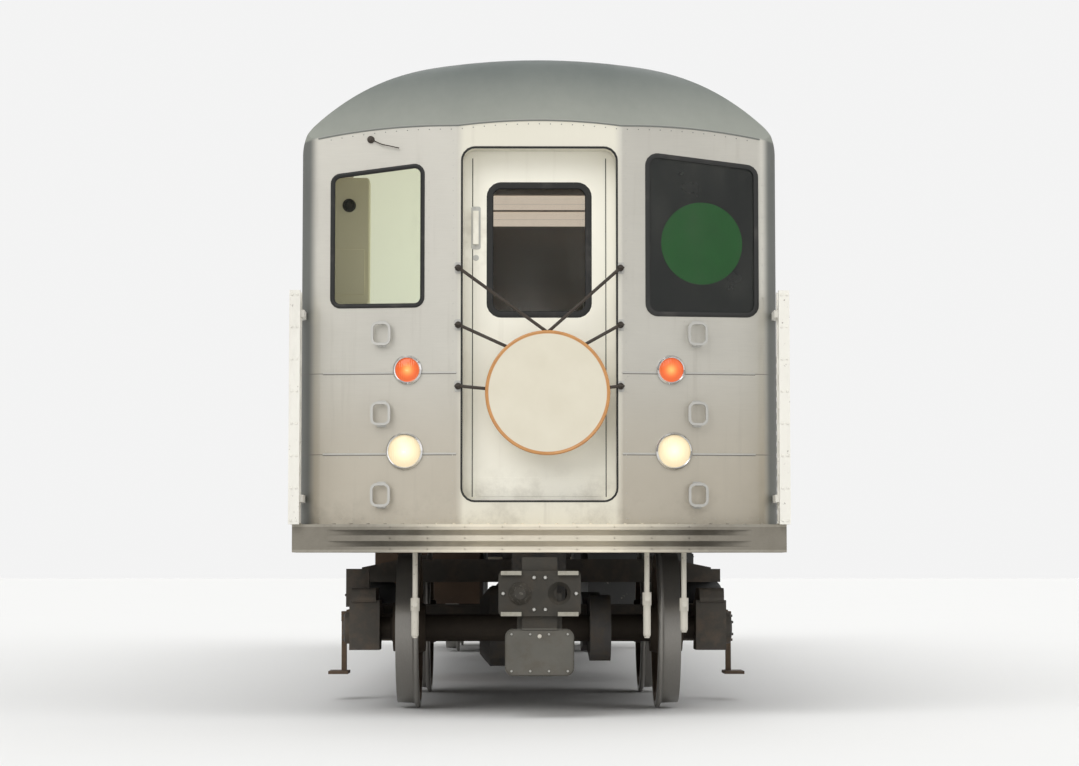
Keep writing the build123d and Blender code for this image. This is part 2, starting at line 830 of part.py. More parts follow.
# Columns: height of the hook, height where the strap meets its pair behind the board
strap_table = [(hook_heights_over_deck[2], headboard_over_deck + headboard_radius - strap_tuck),
               (hook_heights_over_deck[1], headboard_over_deck + strap_rise),
               (hook_heights_over_deck[0], headboard_over_deck - strap_tuck)]
straps = []
for hook_height, meet_height in strap_table:
    meet = (headboard_x, eye_y, deck + meet_height)
    pair = rod((-hook_x, eye_y, deck + hook_height), meet, strap_radius)
    pair += rod((hook_x, eye_y, deck + hook_height), meet, strap_radius)
    pair += Pos(*meet) * Sphere(strap_radius - seat_gap)
    straps.append(pair)
front_chains = hooks[0]
for piece in hooks[1:] + straps:
    front_chains += piece
rear_chains = [turned(hook(side, height)) for side in (-1, 1) for height in hook_heights_over_deck]
for height in hook_heights_over_deck:
    span = rod((-hook_x, eye_y, deck + height), (hook_x, eye_y, deck + height), strap_radius)
    rear_chains.append(turned(span))
rear_joined = rear_chains[0]
for piece in rear_chains[1:]:
    rear_joined += piece
save("safety_chains", front_chains, rear_joined)


# Pantograph gate, folded: two posts joined by round-ended bars that cross on pins
def gate(side):
    gate_y = face_y - gate_ahead
    x = (side * gate_x - gate_width / 2, side * gate_x + gate_width / 2)
    run = gate_reach - gate_bar
    piece = block(x, (gate_y - gate_reach / 2, gate_y - run / 2 + gate_bar / 2), (deck, deck + gate_height))
    piece += block(x, (gate_y + run / 2 - gate_bar / 2, gate_y + gate_reach / 2), (deck, deck + gate_height))
    cell = gate_height / gate_cells
    bar_length = math.hypot(run, cell)
    lean = math.degrees(math.atan2(cell, run))
    layer = gate_width / 2 - gate_play
    for index in range(gate_cells):
        middle = Pos(side * gate_x, gate_y, deck + (index + 0.5) * cell)
        for way in (1, -1):
            bar = Plane.YZ * SlotOverall(bar_length, lattice_bar)
            bar = Pos(0 if way > 0 else -layer, 0, 0) * (Rot(X=way * lean) * extrude(bar, amount=layer))
            piece += middle * bar
        piece += middle * Rot(Y=90) * Cylinder(lattice_pin_radius, gate_width)
    for height in gate_brackets_from_deck:
        bracket = block(sorted((side * (gate_x - gate_bracket_inset), side * gate_x)), (gate_y, -wall_end),
                        (deck + height - gate_bracket / 2, deck + height + gate_bracket / 2))
        piece += bracket - body_front
    return piece & block((-far, far), (-far, far), (deck, deck + gate_height))


body_front = end_solid(-seat_gap, deck - 10, -roof_end)
gates = [gate(side) for side in (-1, 1)]
save("pantograph_gates", *gates, *[turned(piece) for piece in gates])

# Roof: ribbed arch with gutters between the two bonnets
rib_places = [210, 430, 650, 860, 1040]
above_wall = Pos(0, wall_top + far / 2) * Rectangle(far, far)
band = (roof_outline(0, deck) - roof_outline(roof_thickness, deck)) & above_wall
ribs = roof_outline(-rib_height, deck) - roof_outline(0, deck)
strip = Pos(0, roof_top) * Rectangle(rib_width, 2 * roof_rise)
strips = [Pos(side * place, 0) * strip for place in rib_places for side in (-1, 1)]
strip_face = strips[0]
for piece in strips[1:]:
    strip_face += piece
band += ribs & strip_face
gutter_place = Pos(half_width + (gutter_out - gutter_root) / 2, wall_top + gutter_lift + gutter_height / 2)
gutter = gutter_place * Rectangle(gutter_out + gutter_root, gutter_height)
roof_face = band + gutter + mirrored(gutter)
roof = along_y(roof_face, (-roof_end, roof_end))
save("roof", roof)

# Ceiling and its light strips; columns: distance from the middle, height over the walls' top
ceiling_table = [(wall_inner, -68), (1000, 142), (600, 232)]
upper = [(x, wall_top + z + ceiling_thickness) for x, z in ceiling_table]
lower = [(x, wall_top + z) for x, z in ceiling_table]
ceiling_points = upper + [(-x, z) for x, z in reversed(upper)] + [(-x, z) for x, z in lower]
ceiling_points += list(reversed(lower))
ceiling_end = wall_end - ceiling_back
ceiling = along_y(outline(ceiling_points), (-ceiling_end, ceiling_end))
save("ceiling", ceiling)


def ceiling_height(x):
    (outer_x, outer_z), (inner_x, inner_z) = ceiling_table[1], ceiling_table[2]
    share = (outer_x - x) / (outer_x - inner_x)
    return wall_top + outer_z + share * (inner_z - outer_z)


light_face = outline([
    (light_inner, ceiling_height(light_inner)), (light_outer, ceiling_height(light_outer)),
    (light_outer - light_taper, ceiling_height(light_outer) - light_depth),
    (light_inner + light_taper, ceiling_height(light_inner) - light_depth)])
light_end = -face_y - cab_length - 2 * partition
light = along_y(light_face, (-light_end, light_end))
save("light_strips", light, turned(light))

# Floor covering
cover = upward(plate, (plate_top, floor_top))
save("floor_covering", cover + turned(cover))

# Benches: moulded seats on a riser along the walls; columns: distance from the wall, height over the floor
seat_table = [(0, seat_height - 2 * seat_edge), (seat_depth, seat_height - seat_edge),
              (seat_depth, seat_height), (90, seat_height - 10), (25, seat_back_height), (0, seat_back_height)]
riser_table = [(0, 0), (260, 0), (300, seat_height - seat_edge), (0, seat_height - seat_edge)]
seat_face = outline([(wall_inner - x, floor_top + z) for x, z in seat_table])
riser_face = outline([(wall_inner - x, floor_top + z) for x, z in riser_table])


def bench(start, end):
    count = int((end - start) / seat_pitch)
    first = (start + end - count * seat_pitch) / 2
    piece = along_y(riser_face, (first, first + count * seat_pitch))
    for index in range(count):
        low = first + index * seat_pitch
        piece += along_y(seat_face, (low + seat_gap_between / 2, low + seat_pitch - seat_gap_between / 2))
    return piece


# Bench spans of the left wall: middle sections and the short one opposite the front cab
bench_spans = [
    (-doorway_pitch + door_edge + bench_margin, -door_edge - bench_margin),
    (door_edge + bench_margin, doorway_pitch - door_edge - bench_margin),
    (-wall_end + 60, -doorway_pitch - door_edge - bench_margin)]
benches = [bench(*span) for span in bench_spans]
save("bench_seats", *benches, *[turned(piece) for piece in benches])


# Poles at the bench ends, joined by a bar at head height
def pole_frame(start, end):
    x = wall_inner - seat_depth - 30
    top = ceiling_height(x + pole_radius) - seat_gap
    piece = rod((x, start, floor_top), (x, start, top), pole_radius)
    piece += rod((x, end, floor_top), (x, end, top), pole_radius)
    bar = wall_top + rail_bar_rise
    return piece + rod((x, start, bar), (x, end, bar), bar_radius)


frames = [pole_frame(start, end) for start, end in bench_spans[:2]]
save("grab_poles", *frames, *[turned(piece) for piece in frames])

# Cab: partitions with a doorway, and the pocket wall of the sliding end door
room = along_y(outline([(x, 0) for x in (wall_inner, -wall_inner)]
               + [(-x, z) for x, z in lower] + list(reversed(lower))), (-ceiling_end, ceiling_end))
cab_back = face_y + cab_length
cab_front = door_back + cab_wall_setback
cab_side_wall = block((-cab_wall_x, partition - cab_wall_x), (cab_front, cab_back), (floor_top, far))
cab_door_end = cab_back - cab_door_margin
cab_door_start = cab_door_end - cab_door_width
cab_side_wall -= block((-far, 0), (cab_door_start, cab_door_end), (0, floor_top + cab_door_height))
cab_back_wall = block((-wall_inner, partition - cab_wall_x), (cab_back, cab_back + partition),
                      (floor_top, far))
front_slice = cab_side_wall & block((-far, far), (-far, -ceiling_end),
                                    (0, floor_top + cab_door_height + cab_door_header))
cab_walls = [(cab_side_wall & room) + front_slice, cab_back_wall & room]
pocket_front = door_back + pocket_wall_setback
pocket_wall = block((half_opening + portal_wall, wall_inner - 40), (pocket_front, pocket_front + lining),
                    (floor_top, opening_top + portal_wall))
partitions = [*cab_walls, pocket_wall]
save("cab_partitions", *partitions, *[turned(piece) for piece in partitions])
cab_door = block((1 - cab_wall_x, partition - cab_wall_x - 1),
                 (cab_door_start + cab_door_gap, cab_door_end - cab_door_gap),
                 (floor_top + seat_gap, floor_top + cab_door_height - cab_door_gap))
save("cab_door_front", cab_door)
save("cab_door_rear", turned(cab_door))
desk = outline([
    (-wall_end, floor_top), (desk_foot - wall_end, floor_top), (desk_depth - wall_end, floor_top + desk_knee),
    (desk_top - wall_end, floor_top + desk_height), (-wall_end, floor_top + desk_height)], desk_corner)
console = along_x(desk, (-wall_inner, -cab_wall_x - seat_gap))
controller_x = -(wall_inner + cab_wall_x) / 2
console += Pos(controller_x, desk_top / 2 - wall_end, floor_top + desk_height) * Cylinder(
    controller_radius, controller_height, align=(Align.CENTER, Align.CENTER, Align.MIN))
save("cab_consoles", console, turned(console))

# Sliding end doors with their glass
door_face = block((-half_opening - end_door_overlap, half_opening + end_door_overlap),
                  (door_front, door_back), (floor_top + seat_gap, opening_top + end_door_overlap))
glass_z = opening_top - door_glass_head - door_glass_height / 2
glass_face = RectangleRounded(door_glass_width, door_glass_height, door_glass_radius)
door_face -= along_y(Pos(0, glass_z) * glass_face, (door_front - 5, door_back + 5))
handle_z = floor_top + handle_over_floor
handle_sides = (handle_x - handle_width / 2, handle_x + handle_width / 2)
handle = block(handle_sides, (door_front - handle_reach, door_front), (handle_z, handle_z + handle_height))
handle -= block(handle_sides, (door_front - handle_reach + handle_bar, door_front),
                (handle_z + handle_width, handle_z + handle_height - handle_width))
end_door = door_face + handle
save("end_door_front", end_door)
save("end_door_rear", turned(end_door))
door_pane_face = RectangleRounded(door_glass_width - 2 * seat_gap, door_glass_height - 2 * seat_gap,
                                  door_glass_radius - seat_gap)
pane_front = door_front + door_glass_setback
end_pane = along_y(Pos(0, glass_z) * door_pane_face, (pane_front, pane_front + glass_thickness))
save("end_door_glass_front", end_pane)
save("end_door_glass_rear", turned(end_pane))

# Side door leaves of the right wall: one that slides forward and one back in each doorway
leaf_width = doorway_width / 2 + leaf_hidden - nose_gap / 2
leaf_x = (-pocket_outer + leaf_clearance, -pocket_inner - leaf_clearance)
leaf_window_z = doorway_top - leaf_window_drop - leaf_window_height / 2
leaf_window = RectangleRounded(leaf_window_width, leaf_window_height, leaf_window_radius)
pane_face = RectangleRounded(leaf_window_width - 2 * seat_gap, leaf_window_height - 2 * seat_gap,
                             leaf_window_radius - seat_gap)


def leaf(place, way):
    near = place + way * nose_gap / 2
    far_edge = near + way * leaf_width
    middle = place + way * doorway_width / 4
    panel = block(leaf_x, sorted((near, far_edge)), (floor_top + seat_gap, leaf_top))
    panel -= along_x(Pos(middle, leaf_window_z) * leaf_window, (-far, 0))
    pane = along_x(Pos(middle, leaf_window_z) * pane_face, (leaf_x[0] + 8, leaf_x[0] + 8 + glass_thickness))
    return panel, pane


for way, label in ((-1, "forward"), (1, "back")):
    pairs = [leaf(place, way) for place in doorways]
    save(f"door_leaves_right_{label}", *[panel for panel, pane in pairs])
    save(f"door_glass_right_{label}", *[pane for panel, pane in pairs])
    other = "back" if way < 0 else "forward"
    save(f"door_leaves_left_{other}", *[turned(panel) for panel, pane in pairs])
    save(f"door_glass_left_{other}", *[turned(pane) for panel, pane in pairs])

# Wheelset: half of its section as distance from the middle and radius, turned about the axle
back_face = track_gauge_back / 2
rim_face = back_face + wheel_width
tip_centre = back_face + flange_tip
tip_low = wheel_radius + flange_depth - flange_tip
rim_radius = wheel_radius - rim_depth
disc_foot = hub_radius + hub_flare
half_section = [
    (0, axle_radius), (back_face - hub_overhang, axle_radius), (back_face - hub_overhang, hub_radius),
    (back_face + disc_at_hub, disc_foot), (back_face + disc_at_rim, rim_radius - rim_lip),
    (back_face, rim_radius), (back_face, tip_low)]
tread_side = [
    (tip_centre + flange_tip, tip_low), (tip_centre + flange_tip + flange_root, wheel_radius),
    (rim_face, wheel_radius - tread_fall), (rim_face, rim_radius),
    (back_face + disc_at_rim + disc_thickness, rim_radius - rim_lip),
    (back_face + disc_at_hub + disc_thickness, disc_foot), (rim_face + hub_overhang, hub_radius),
    (rim_face + hub_overhang, axle_radius + axle_collar), (rim_face + axle_shoulder, journal_radius),
    (journal_end, journal_radius), (journal_end, 0)]
flip = [(-x, r) for x, r in half_section]
flip_tread = [(-x, r) for x, r in tread_side]
section = [
    Polyline(*reversed(flip), *half_section[1:]),
    ThreePointArc(half_section[-1], (tip_centre, tip_low + flange_tip), tread_side[0]),
    Polyline(*tread_side, flip_tread[-1], *reversed(flip_tread[:-1])),
    ThreePointArc(flip_tread[0], (-tip_centre, tip_low + flange_tip), flip[-1]),
]
wheelset = revolve(Plane.XZ * make_face(section), Axis.X)
axle_shifts = [-wheelbase / 2, wheelbase / 2]
number = 0
for place in bogie_places:
    for shift in axle_shifts:
        number += 1
        save(f"wheelset_{number}", Pos(0, place + shift, axle_z) * wheelset)

# Bogies, each about its own middle: cranked side frames seen from the side, as half an outline
frame_half = wheelbase / 2
straight_half = frame_half - side_frame_nose - side_frame_ramp
low_edge = side_frame_top - side_frame_drop
frame_crown = side_frame_top + side_frame_hump
half_frame = [
    (straight_half, side_frame_top), (frame_half - side_frame_nose, frame_crown),
    (frame_half + side_frame_nose - side_frame_step, frame_crown),
    (frame_half + side_frame_nose, frame_crown - side_frame_chamfer),
    (frame_half - side_frame_nose + side_frame_step, side_frame_top - side_frame_undercut),
    (straight_half + side_frame_step, low_edge)]
side_face = outline(half_frame + [(-y, z) for y, z in reversed(half_frame)], side_frame_corner)
web_width = straight_half - web_rim - web_post / 2
web_pocket = RectangleRounded(web_width, side_frame_drop - 2 * web_rim, side_frame_corner)
motor_y = frame_half - motor_from_axle


# Tread brake of the wheel at shift: a shoe on a cylinder that hangs from the side frame
def brake(shift):
    way = -math.copysign(1, shift)
    x = (tip_centre + flange_tip + flange_root + rim_face) / 2
    tread = shift + way * wheel_radius
    ring = Cylinder(wheel_radius + brake_gap + brake_shoe_depth, brake_shoe_width)
    ring -= Cylinder(wheel_radius + brake_gap, brake_shoe_width)
    shoe = Pos(x, shift, axle_z) * Rot(Y=90) * ring
    shoe &= block((0, far), sorted((shift, tread + way * far)),
                  (axle_z - brake_shoe_height / 2, axle_z + brake_shoe_height / 2))
    start = tread + way * (brake_gap + brake_shoe_depth / 2)
    z = axle_z + brake_cylinder_rise
    cylinder = rod((x, start, z), (x, start + way * brake_cylinder_length, z), brake_cylinder_radius)
    back = start + way * (brake_cylinder_length - brake_cylinder_radius)
    arm = block((x, side_frame_inner + web_rim), sorted((back, back + way * brake_cylinder_radius)),
                (z - brake_cylinder_radius / 2, z + brake_cylinder_radius / 2))
    return shoe + cylinder + arm


def axle_box(shift):
    inner = side_frame_inner - axle_box_lap
    piece = block((inner, side_frame_outer + axle_box_lip), (shift - axle_box_half, shift + axle_box_half),
                  (axle_z - axle_box_below, axle_z + axle_box_above))
    outside = (side_frame_outer + axle_box_lip, shift, axle_z)
    piece += rod(outside, (outside[0] + axle_cap_depth, shift, axle_z), axle_cap_radius)
    bore = rod((inner - 10, shift, axle_z), (journal_end + bore_gap, shift, axle_z), journal_radius + bore_gap)
    return piece - bore


def bogie_frame():
    frame = along_x(side_face, (side_frame_inner, side_frame_outer))
    web_z = (side_frame_top + low_edge) / 2
    for way in (-1, 1):
        pocket = Pos(way * (web_width + web_post) / 2, web_z) * web_pocket
        frame -= along_x(pocket, (side_frame_outer - web_recess, far))
    for shift in axle_shifts:
        inner = side_frame_inner - axle_box_lap
        frame -= rod((inner, shift, axle_z), (journal_end, shift, axle_z), journal_radius + bore_gap)
        frame = frame + axle_box(shift) + brake(shift)
    frame += mirrored(frame)
    for way in (-1, 1):
        frame += block((-side_frame_inner - web_rim, side_frame_inner + web_rim),
                       sorted((way * (transom_y - transom_width / 2), way * (transom_y + transom_width / 2))),
                       (low_edge + transom_lift, low_edge + transom_lift + transom_height))
    return frame


def bogie_bolster():
    half = side_frame_outer
    beam = outline([(-half, bolster_bottom), (half, bolster_bottom), (half, bolster_bottom + bolster_tip),
                    (half - bolster_taper, bolster_top), (bolster_taper - half, bolster_top),
                    (-half, bolster_bottom + bolster_tip)])
    bolster = along_y(beam, (-bolster_width / 2, bolster_width / 2))
    plate_height = centre_plate_height - seat_gap
    return bolster + Pos(0, 0, bolster_top + plate_height / 2) * Cylinder(centre_plate_radius, plate_height)


# Anchor rods that hold the bolster along the car, one on each side at opposite ends
def anchor_rod():
    x = side_frame_outer + anchor_rod_out
    z = bolster_bottom + bolster_tip / 2
    lug = 3 * anchor_rod_radius
    piece = rod((x, 0, z), (x, anchor_rod_reach, z), anchor_rod_radius)
    across = (side_frame_outer - lug, x + anchor_rod_radius)
    piece += block(across, (-lug / 2, lug / 2), (bolster_bottom, z + lug / 2))
    return piece + block(across, (anchor_rod_reach - lug, anchor_rod_reach),
                         (side_frame_top - web_rim / 2, z + lug / 2))


def bogie_springs():
    x = (side_frame_inner + side_frame_outer) / 2
    neck = spring_radius - spring_waist
    middle = (spring_radius, (side_frame_top + bolster_bottom) / 2)
    bellows = [
        Line((0, side_frame_top), (neck, side_frame_top)),
        ThreePointArc((neck, side_frame_top), middle, (neck, bolster_bottom)),
        Line((neck, bolster_bottom), (0, bolster_bottom)),
        Line((0, bolster_bottom), (0, side_frame_top)),
    ]
    spring = revolve(Plane.XZ * make_face(bellows), Axis.Z)
    return [Pos(side * x, 0, 0) * spring for side in (-1, 1)]


# Axle-hung motor of the axle at shift: a drum with end bells, its gear case and the arm that holds it
def motor_unit(shift):
    way = math.copysign(1, shift)
    start = motor_shift - motor_length / 2
    end = start + motor_length
    drum = outline([(start, 0), (start, motor_bell_radius), (start + motor_bell, motor_radius),
                    (end - motor_bell, motor_radius), (end, motor_bell_radius), (end, 0)])
    motor = Pos(0, way * motor_y, axle_z) * revolve(Plane.XZ * drum, Axis.X)
    case_edges = [*(Pos(shift, axle_z) * Circle(gear_case_radius)).edges(),
                  *(Pos(way * motor_y, axle_z) * Circle(pinion_case_radius)).edges()]
    case_end = gear_case_inner + gear_case_width
    case = along_x(make_hull(case_edges), (gear_case_inner, case_end))
    cover = rod((end - motor_bell, way * motor_y, axle_z),
                (gear_case_inner + motor_bell, way * motor_y, axle_z), shaft_cover_radius)
    arm = block((motor_shift - motor_bell_radius, motor_shift + motor_bell_radius),
                sorted((way * (transom_y + transom_width / 2), way * (motor_y - motor_bell_radius))),
                (axle_z + motor_arm_rise, axle_z + motor_arm_rise + motor_arm_height))
    axle = rod((0, shift, axle_z), (case_end + 10, shift, axle_z), axle_radius + bore_gap)
    return motor + case + cover + arm - axle


# Third-rail shoe of one side: a wooden beam along the side frame, an arm, a post and the shoe
def shoe_gear():
    middle = low_edge + side_frame_drop / 2
    beam_end = side_frame_outer + shoe_beam_thickness
    arm_end = beam_end + shoe_arm_reach
    beam = block((side_frame_outer, beam_end), (-shoe_beam_length / 2, shoe_beam_length / 2),
                 (middle - shoe_beam_height / 2, middle + shoe_beam_height / 2))
    beam += block((beam_end, arm_end), (-shoe_arm_width / 2, shoe_arm_width / 2),
                  (middle - shoe_post, middle + shoe_post))
    shoe_z = rail + shoe_over_rail
    beam += block((arm_end - shoe_post, arm_end), (-shoe_post, shoe_post), (shoe_z, middle + shoe_post))
    shoe_middle = arm_end + shoe_post / 2
    beam += block((shoe_middle - shoe_width / 2, shoe_middle + shoe_width / 2),
                  (-shoe_length / 2, shoe_length / 2), (shoe_z, shoe_z + shoe_thickness))
    return [beam, mirrored(beam)]


anchor = anchor_rod()
bogie_parts = {
    "bogie_frame": [bogie_frame(), bogie_bolster() + anchor + turned(anchor)],
    "bogie_springs": bogie_springs(),
    "traction_motors": [motor_unit(shift) for shift in axle_shifts],
    "shoe_gear": shoe_gear(),
}
for place, label in zip(bogie_places, ("front", "rear")):
    for node, pieces in bogie_parts.items():
        save(f"{node}_{label}", *[Pos(0, place, 0) * piece for piece in pieces])


# Couplers: a head with a cone and a funnel on a swinging drawbar, and a plug box hung below it
def coupler():
    tip = -half_length - coupler_face_ahead
    face = tip + coupler_cone_reach
    back = face + coupler_head_depth
    plate = Pos(0, coupler_z) * RectangleRounded(coupler_head_width, coupler_head_height, coupler_corner)
    piece = along_y(plate, (face, face + coupler_face_plate))
    neck = Plane(origin=(0, back, coupler_z), z_dir=(0, 1, 0))
    front = Plane(origin=(0, face + coupler_face_plate, coupler_z), z_dir=(0, 1, 0))
    piece += loft([
        front * Rectangle(coupler_head_width - 2 * coupler_corner, coupler_head_height - 2 * coupler_corner),
        neck * Rectangle(coupler_neck_width, coupler_neck_height)])
    guide_width = coupler_head_width / 4
    for side in (-1, 1):
        for level in (-1, 1):
            z = coupler_z + level * (coupler_head_height - coupler_guide) / 2
            x = side * (coupler_head_width - guide_width) / 2 - side * coupler_corner / 2
            piece += block((x - guide_width / 2, x + guide_width / 2), (face - coupler_guide, face + 2),
                           (z - coupler_guide / 2, z + coupler_guide / 2))
    cone = Pos(0, face - coupler_cone_reach / 2, coupler_z) * Rot(X=90)
    piece += Pos(-coupler_cone_x, 0, 0) * cone * Cone(
        coupler_cone_radius, coupler_cone_radius / 2, coupler_cone_reach)
    funnel = Pos(0, face + coupler_cone_reach / 2, coupler_z) * Rot(X=90)
    piece -= Pos(coupler_cone_x, 0, 0) * funnel * Cone(
        coupler_cone_radius / 2, coupler_cone_radius, coupler_cone_reach)
    piece += block((-drawbar_width / 2, drawbar_width / 2), (back - 10, pin_y),
                   (coupler_z - drawbar_height / 2, coupler_z + drawbar_height / 2))
    piece += Pos(0, pin_y, coupler_z) * Cylinder(drawbar_eye_radius, drawbar_height)
    box_top = rail + plug_box_top_over_rail
    box_face = face + plug_box_setback
    outer = Pos(0, box_top - plug_box_height / 2) * RectangleRounded(
        plug_box_width, plug_box_height, plug_box_corner)
    lid = Pos(0, box_top - plug_box_height / 2) * RectangleRounded(
        plug_box_width - plug_lid, plug_box_height - plug_lid, plug_box_corner)
    piece += along_y(outer, (box_face, box_face + plug_box_depth))
    piece += along_y(lid, (box_face - plug_lid, box_face))
    hanger = block((-coupler_neck_width / 2, coupler_neck_width / 2), (box_face + plug_lid, back),
                   (box_top - 10, coupler_z))
    bore = Pos(0, pin_y, coupler_z) * Cylinder(coupler_pin_radius + bore_gap, 2 * drawbar_height)
    return piece + hanger - bore


coupler_piece = coupler()
save("coupler_front", coupler_piece)
save("coupler_rear", turned(coupler_piece))


# Underfloor case hung from the bearers, rounded below, with doors on its outer side
def hung_case(front, back, side, depth, doors):
    bottom = bearer_bottom - depth
    outer_x = side * case_outer
    inner_x = side * case_inner
    shape = outline([(outer_x, bearer_bottom), (inner_x, bearer_bottom), (inner_x, bottom), (outer_x, bottom)])
    shape = fillet([v for v in shape.vertices() if v.Y < bottom + 1], case_corner)
    piece = along_y(shape, (front, back))
    width = (back - front - (doors + 1) * case_door_margin) / doors
    top = bearer_bottom - case_door_top
    height = top - bottom - case_corner - case_door_margin
    door_shape = RectangleRounded(width, height, case_door_margin / 2)
    reach = sorted((outer_x - side, outer_x + side * case_door_proud))
    hinge_z = top + case_hinge_radius
    for index in range(doors):
        middle = front + case_door_margin + width / 2 + index * (width + case_door_margin)
        panel = along_x(Pos(middle, top - height / 2) * door_shape, reach)
        hinge_ends = [(outer_x, middle + way * width / 3, hinge_z) for way in (-1, 1)]
        hinge = rod(*hinge_ends, case_hinge_radius)
        piece = piece + panel + hinge
    return piece


# Columns: front edge, back edge, side, depth below the bearers, doors
case_table = [
    (-1150, 350, -1, 440, 2),
    (650, 2450, -1, 480, 3),
    (-3250, -1200, 1, 500, 3),
    (1150, 2400, 1, 400, 2),
]
save("equipment_cases", *[hung_case(*row) for row in case_table])


# Resistor grid: thin plates across two shelves
def resistor_grid():
    x = (-case_outer, -case_inner)
    bottom = bearer_bottom - grid_height
    grid = block(x, (grid_front, grid_back), (bearer_bottom - grid_shelf, bearer_bottom))
    grid += block(x, (grid_front, grid_back), (bottom, bottom + grid_shelf))
    pitch = (grid_back - grid_front - grid_plate) / (grid_plates - 1)
    for index in range(grid_plates):
        low = grid_front + index * pitch
        grid += block(x, (low, low + grid_plate), (bottom + grid_shelf / 2, bearer_bottom - grid_shelf / 2))
    return grid


save("resistor_grids", resistor_grid())

# Air tanks along the middle, each with straps from the bearers; columns: front end, back end
tank_table = [(-3200, -1900), (-1500, -200), (300, 1600)]
tank_z = bearer_bottom - tank_drop
strap_half = tank_radius + tank_strap_lap
tanks = []
for start, end in tank_table:
    tank = rod((0, start, tank_z), (0, end, tank_z), tank_radius)
    tank = fillet(tank.edges().filter_by(GeomType.CIRCLE), tank_dome)
    for place in bearer_places:
        if start + tank_dome < place < end - tank_dome:
            tank += block((-strap_half, strap_half),
                          (place - tank_strap_width / 2, place + tank_strap_width / 2), (tank_z, bearer_bottom))
    tanks.append(tank)

# Compressor: motor drum, frame, cylinder block and hanger; columns: X, Y and Z limits, Z from the bearers
compressor_table = [
    ((420, 1080), (-760, 500), (-50, 0)),
    ((560, 900), (100, 460), (-400, -40)),
    ((640, 800), (-500, -440), (-compressor_drop, -40)),
]
compressor_z = bearer_bottom - compressor_drop
compressor = rod((compressor_x, compressor_front, compressor_z), (compressor_x, compressor_back, compressor_z),
                 compressor_radius)
for x, y, (low, high) in compressor_table:
    compressor += block(x, y, (bearer_bottom + low, bearer_bottom + high))
save("air_equipment", *tanks, compressor)
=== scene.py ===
import bpy
import bmesh
import math
from mathutils import Matrix, Vector


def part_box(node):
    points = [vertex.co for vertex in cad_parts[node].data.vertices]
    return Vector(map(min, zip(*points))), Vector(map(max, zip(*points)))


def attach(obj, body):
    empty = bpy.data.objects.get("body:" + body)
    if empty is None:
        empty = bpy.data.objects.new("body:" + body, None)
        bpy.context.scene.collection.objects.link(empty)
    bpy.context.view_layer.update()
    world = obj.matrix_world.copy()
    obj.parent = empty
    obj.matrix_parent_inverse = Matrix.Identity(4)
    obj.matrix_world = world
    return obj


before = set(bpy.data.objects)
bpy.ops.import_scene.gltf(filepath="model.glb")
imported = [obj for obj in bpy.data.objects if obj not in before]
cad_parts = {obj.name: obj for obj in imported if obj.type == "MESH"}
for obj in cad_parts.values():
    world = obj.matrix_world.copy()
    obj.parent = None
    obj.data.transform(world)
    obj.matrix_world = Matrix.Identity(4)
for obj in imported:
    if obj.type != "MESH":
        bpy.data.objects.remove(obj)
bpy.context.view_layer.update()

print("frame loaded:", len(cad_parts), "nodes")

# Places of the car in metres; the face, deck, nose, wall and floor are read from the imported model, the rest
# are given
noseLow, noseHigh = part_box("anticlimbers")
car = {
    "faceY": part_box("end_mask_front")[0].y,
    "faceFlat": 0.45,    # half width of the face between its swept sides
    "faceSweep": math.radians(8),
    "deck": noseHigh.z,
    "noseY": noseLow.y,
    "wallX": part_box("side_wall_left")[1].x,
    "floorTop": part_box("floor_covering")[1].z,
    "doorways": (-5.03, 0.0, 5.03),
    "axles": (-6.528, -4.445, 4.445, 6.528),
    "axleZ": 0.46,
    "cabSide": 0.448,    # middles of the cab's two walls
    "cabBack": 6.318,
    "lipAxis": -0.150,    # the bonnet's lip: the crown's axis, its radius, and how it grows with the sweep
    "lipRadius": 3.388,
    "lipRise": math.tan(math.radians(50)),
    "seams": (1.418, 1.858),    # heights of the end sheets' seams
    "couplerY": 7.783,
    "couplerZ": 0.668,
}


# A socket that can be used in sums and products; each one adds its Math node
class Signal:
    def __init__(self, nodes, socket):
        self.nodes = nodes
        self.socket = socket

    def maths(self, operation, *values):
        return self.nodes.node("ShaderNodeMath", {"operation": operation}, dict(enumerate(values)))

    def __add__(self, other):
        return self.maths("ADD", self, other)

    def __sub__(self, other):
        return self.maths("SUBTRACT", self, other)

    def __rsub__(self, other):
        return self.maths("SUBTRACT", other, self)

    def __mul__(self, other):
        return self.maths("MULTIPLY", self, other)

    def __truediv__(self, other):
        return self.maths("DIVIDE", self, other)

    def __pow__(self, other):
        return self.maths("POWER", self, other)

    def __abs__(self):
        return self.maths("ABSOLUTE", self)

    __radd__, __rmul__ = __add__, __mul__


# A node tree: every node in it is made here, its settings first and then its sockets
class Nodes:
    def __init__(self, tree):
        self.tree = tree

    def node(self, kind, settings, inputs, output=0):
        made = self.tree.nodes.new(kind)
        for key, value in settings.items():
            setattr(made, key, value)
        for key, value in inputs.items():
            if isinstance(value, Signal):
                self.tree.links.new(value.socket, made.inputs[key])
            else:
                made.inputs[key].default_value = value
        return Signal(self, made.outputs[output]) if made.outputs else None

    # 0 below low, 1 above high; low above high turns it round
    def step(self, value, low, high, bottom=0.0, top=1.0):
        return self.node("ShaderNodeMapRange", {"interpolation_type": "SMOOTHSTEP"},
                         {0: value, 1: low, 2: high, 3: bottom, 4: top})


